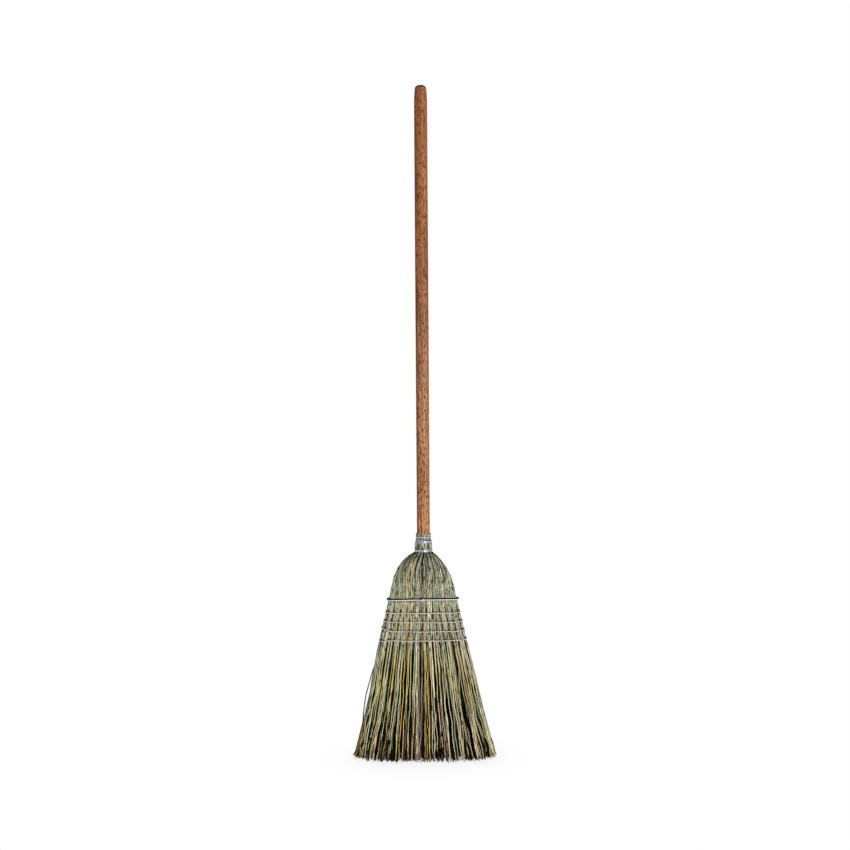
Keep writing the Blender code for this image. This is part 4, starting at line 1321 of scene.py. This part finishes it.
class OBJECT_OT_broom_bindings(bpy.types.Operator):
    """Bend the binding wire and the shoulder band, and sew the four rows of twine"""

    bl_idname = "object.broom_bindings"
    bl_label = "Broom Bindings"
    bl_options = {"REGISTER", "UNDO"}

    def execute(self, context):
        settings = context.scene.broom_binding
        fibres = context.scene.broom_fibres
        zinc = wire_material("galvanised_wire", settings, settings.wire_colour, 0.6,
                             settings.neck_shade_line, 0.85)
        dull_zinc = wire_material("galvanised_band", settings, settings.band_colour, 0.9,
                                  settings.band_shade_line, 0.0)
        yarn = twine_material(settings)
        steel = nail_material()
        neck = bend_wire("neck_binding", [neck_wire_path()], settings.wire_radius, 4)
        place_piece(neck, zinc, "wire", "neck_wire")
        band = bend_wire("shoulder_wire", [band_path(settings)], settings.band_radius, 4)
        place_piece(band, dull_zinc, "wire", "shoulder_band")
        for row in ROWS:
            self.sew_row(row, settings, fibres, yarn)
        for node, material in (("inner_wire", zinc), ("inner_nail", steel),
                               ("lower_neck_nail", steel), ("upper_neck_nail", steel)):
            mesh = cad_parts[node].data
            mesh.materials.clear()
            mesh.materials.append(material)
        return {"FINISHED"}

    def sew_row(self, row, settings, fibres, yarn):
        """One row: its two plies round the panel and its stitches through it."""
        name = f"twine_row_{row + 1}"
        face = bend_wire(name + "_face", twine_paths(row, settings, fibres),
                         settings.twine_radius * 0.55, 1, closed=True)
        depth = float(half_depth(ROW_HEIGHTS[row])) - 2.5 * MM
        through = []
        for x in stitch_places(row, fibres.tuft_pitch)[1:-1]:
            height = float(row_line(row, np.array(x)))
            stitch = np.array([(x, -depth, height), (x, 0, height - MM), (x, depth, height)])
            through.append(lean(stitch))
        inside = bend_wire(name + "_through", through, settings.twine_radius * 0.9, 1)
        place_piece(joined(name, face, inside), yarn, "twine", f"stitch_row_{row + 1}")


# The handle

def wood_material(settings):
    """Stained hardwood: slanting growth rings, long streaks, filled pores and darker flecks.

    The stain is fresher near the neck and deeper higher up. Painted shade darkens the sides,
    most on the left, painted light brightens the right side, and painted shade blackens the
    wood inside the head, where no light gets.
    """
    material, tree, shader = new_material("stained_wood")
    bend = blended(tree, 1.0, noise(tree, (8, 8, 2.2), 2.0), (0.05, 0.05, 0.0), "MULTIPLY")
    rings = add(tree, "ShaderNodeTexWave",
                {"Vector": summed(tree, stretched(tree, (1, 1, 0.035)), bend), "Scale": 95.0,
                 "Distortion": 1.6, "Detail": 2.0, "Detail Scale": 1.2}, wave_type="BANDS",
                bands_direction="DIAGONAL", wave_profile="SIN").outputs["Fac"]
    streaks = noise(tree, (520, 520, 9), 4.0, 0.65)
    flecks = noise(tree, (420, 420, 110), 2.0, 0.5)
    pores = noise(tree, (1500, 1500, 70), 2.0, 0.5)
    clouds = noise(tree, (26, 26, 7), 2.0)
    height = coordinate(tree, "Object", "Z")
    facing = coordinate(tree, "Normal", "X")
    top = HANDLE_HIGH.z - settings.top_gap
    fresh = between(tree, height, NECK_TOP + 60 * MM, NECK_TOP + 320 * MM, 1.0, 0.0)
    higher = between(tree, height, NECK_TOP + 300 * MM, NECK_TOP + 650 * MM)
    # Masks of painted shade on the sides, more on the left, and inside the head
    sides = between(tree, maths(tree, "ABSOLUTE", facing), 0.66, 0.9, 0.0, 0.85)
    left = between(tree, facing, -0.96, -0.74, 0.85, 0.0)
    inside = between(tree, height, NECK_BOTTOM - 2 * MM, NECK_BOTTOM, 0.96, 0.0)
    end = between(tree, height, top - 8 * MM, top - 5 * MM, 0.0, 0.95)
    tone = blended(tree, fresh, settings.stain, settings.low_stain)
    for amount, look, mode in (
            (between(tree, rings, 0.45, 0.95, 0.0, 0.8), settings.late_wood, "MIX"),
            (between(tree, streaks, 0.35, 0.7, 0.0, 0.7), settings.light_wood, "MIX"),
            (between(tree, flecks, 0.53, 0.6, 0.0, 0.95), settings.late_wood, "MIX"),
            (between(tree, pores, 0.58, 0.66, 0.0, 0.75), settings.pores, "MIX"),
            (1.0, between(tree, clouds, 0.3, 0.7, 0.68, 1.1), "MULTIPLY"),
            (sides, settings.side_shade, "MULTIPLY"),
            (higher, settings.high_stain, "MULTIPLY"),
            (left, settings.left_shade, "MULTIPLY"),
            # Painted light on the side facing right
            (1.0, between(tree, facing, 0.0, 0.6, 1.0, 1.18), "MULTIPLY"),
            (inside, (0, 0, 0), "MIX"),
            (end, settings.end_grain, "MIX")):
        tone = blended(tree, amount, tone, look, mode)
    feed(tree, shader, {
        "Base Color": tone,
        "Roughness": between(tree, streaks, 0.3, 0.7, 0.38, 0.52),
        "Specular IOR Level": 0.1,
        "Normal": bumped(tree, maths(tree, "ADD", streaks, pores), 0.25, 0.25 * MM)})
    return material


class OBJECT_OT_broom_handle(bpy.types.Operator):
    """Turn the stained handle with its rounded top"""

    bl_idname = "object.broom_handle"
    bl_label = "Broom Handle"
    bl_options = {"REGISTER", "UNDO"}

    def execute(self, context):
        settings = context.scene.broom_handle
        low, high = HANDLE_LOW.z, HANDLE_HIGH.z - settings.top_gap
        profile = [(11.5 * MM, low)]
        for height in np.linspace(low + 40 * MM, high - settings.top_taper, 12):
            radius = np.interp(height, [NECK_TOP, NECK_TOP + 0.5], settings.radii)
            profile.append((float(radius), float(height)))
        shoulder = high - settings.dome_height
        for part in (0.35, 0.7, 1.0):
            profile.append((mix(settings.radii[1], settings.top_radius, part ** 1.6),
                            mix(high - settings.top_taper, shoulder, part)))
        for part in (0.18, 0.36, 0.52, 0.66, 0.78, 0.87, 0.94, 0.985, 1.0):
            angle = math.pi / 2 * part
            profile.append((mix(4.6 * MM, settings.top_radius, math.cos(angle) ** 0.9),
                            shoulder + settings.dome_height * math.sin(angle)))
        handle = turned("turned_handle", profile, settings.sides)
        place_piece(handle, wood_material(settings), "handle_wood", "handle")
        return {"FINISHED"}


# The stage

# How far off the broom darkens the floor, the key light's direction and its spread, and
# the width of the camera's sensor in millimetres
SHADOW_REACH = 0.12
KEY_DIRECTION = -0.42, 1.0, -0.6
KEY_SPREAD = math.radians(28)
SENSOR_WIDTH = 36


def shown_apart(tree, output, lit, shown):
    """Lights the scene by one shader and shows the other to the camera and in reflections."""
    ray = add(tree, "ShaderNodeLightPath").outputs
    seen = maths(tree, "MAXIMUM", ray["Is Camera Ray"], ray["Is Glossy Ray"])
    both = add(tree, "ShaderNodeMixShader", {0: seen, 1: lit.outputs[0], 2: shown.outputs[0]})
    add(tree, output, {"Surface": both.outputs[0]})


class OBJECT_OT_broom_stage(bpy.types.Operator):
    """Lay the white floor, light it softly and set the camera"""

    bl_idname = "object.broom_stage"
    bl_label = "Broom Stage"
    bl_options = {"REGISTER", "UNDO"}

    def execute(self, context):
        settings = context.scene.broom_stage
        self.lay_floor(settings)
        self.light_room(context, settings)
        self.set_camera(context, settings)
        context.scene.view_settings.view_transform = "Standard"
        return {"FINISHED"}

    def lay_floor(self, settings):
        deselect_all()
        bpy.ops.mesh.primitive_plane_add(size=60)
        floor = new_piece("studio_floor")
        material, tree, _ = new_material("white_floor")
        tree.nodes.clear()
        open_sky = add(tree, "ShaderNodeAmbientOcclusion", {"Distance": SHADOW_REACH},
                       samples=8).outputs["AO"]
        shown_apart(
            tree, "ShaderNodeOutputMaterial",
            add(tree, "ShaderNodeBsdfDiffuse", {"Color": (0.8, 0.8, 0.8)}),
            add(tree, "ShaderNodeEmission", {
                "Color": (1, 1, 1),
                "Strength": between(tree, open_sky, 0.45, 0.95, settings.shadow, 1.0)}))
        floor.data.materials.append(material)

    def light_room(self, context, settings):
        world = bpy.data.worlds.new("soft_room")
        context.scene.world = world
        world.use_nodes = True
        tree = world.node_tree
        tree.nodes.clear()
        room, white = (
            add(tree, "ShaderNodeBackground", {"Color": (1, 1, 1), "Strength": strength})
            for strength in (settings.room_light, 1.0))
        shown_apart(tree, "ShaderNodeOutputWorld", room, white)
        key = bpy.data.lights.new("key_light", "SUN")
        key.energy = settings.key_light
        key.angle = KEY_SPREAD
        lamp = placed("key_light", key)
        lamp.rotation_euler = Vector(KEY_DIRECTION).to_track_quat("-Z", "Y").to_euler()

    def set_camera(self, context, settings):
        data = bpy.data.cameras.new("photo_camera")
        data.lens = settings.lens
        data.sensor_width = SENSOR_WIDTH
        data.clip_start = 0.05
        data.clip_end = 200
        camera = placed("photo_camera", data)
        camera.location = (settings.camera_side, -settings.distance, settings.camera_height)
        camera.rotation_euler = (math.pi / 2, settings.roll, 0)
        context.scene.camera = camera


SETTINGS = {
    "broom_handle": BroomHandleSettings,
    "broom_fibres": BroomFibreSettings,
    "broom_binding": BroomBindingSettings,
    "broom_stage": BroomStageSettings,
}
OPERATORS = (
    OBJECT_OT_broom_handle,
    OBJECT_OT_broom_fibres,
    OBJECT_OT_broom_bindings,
    OBJECT_OT_broom_stage,
)


class VIEW3D_PT_broom(bpy.types.Panel):
    """Sizes, colours and steps of the broom"""

    bl_label = "Corn Broom"
    bl_space_type = "VIEW_3D"
    bl_region_type = "UI"
    bl_category = "Broom"

    def draw(self, context):
        for name, group in SETTINGS.items():
            box = self.layout.box()
            for field in group.__annotations__:
                box.prop(getattr(context.scene, name), field)
        for operator in OPERATORS:
            self.layout.operator(operator.bl_idname)


def register():
    for name, group in SETTINGS.items():
        bpy.utils.register_class(group)
        setattr(bpy.types.Scene, name, bpy.props.PointerProperty(type=group))
    for operator in OPERATORS:
        bpy.utils.register_class(operator)
    bpy.utils.register_class(VIEW3D_PT_broom)


def unregister():
    bpy.utils.unregister_class(VIEW3D_PT_broom)
    for operator in reversed(OPERATORS):
        bpy.utils.unregister_class(operator)
    for name, group in SETTINGS.items():
        delattr(bpy.types.Scene, name)
        bpy.utils.unregister_class(group)


def main():
    register()
    bpy.ops.object.broom_handle()
    bpy.ops.object.broom_fibres()
    bpy.ops.object.broom_bindings()
    bpy.ops.object.broom_stage()


if __name__ == "__main__":
    main()
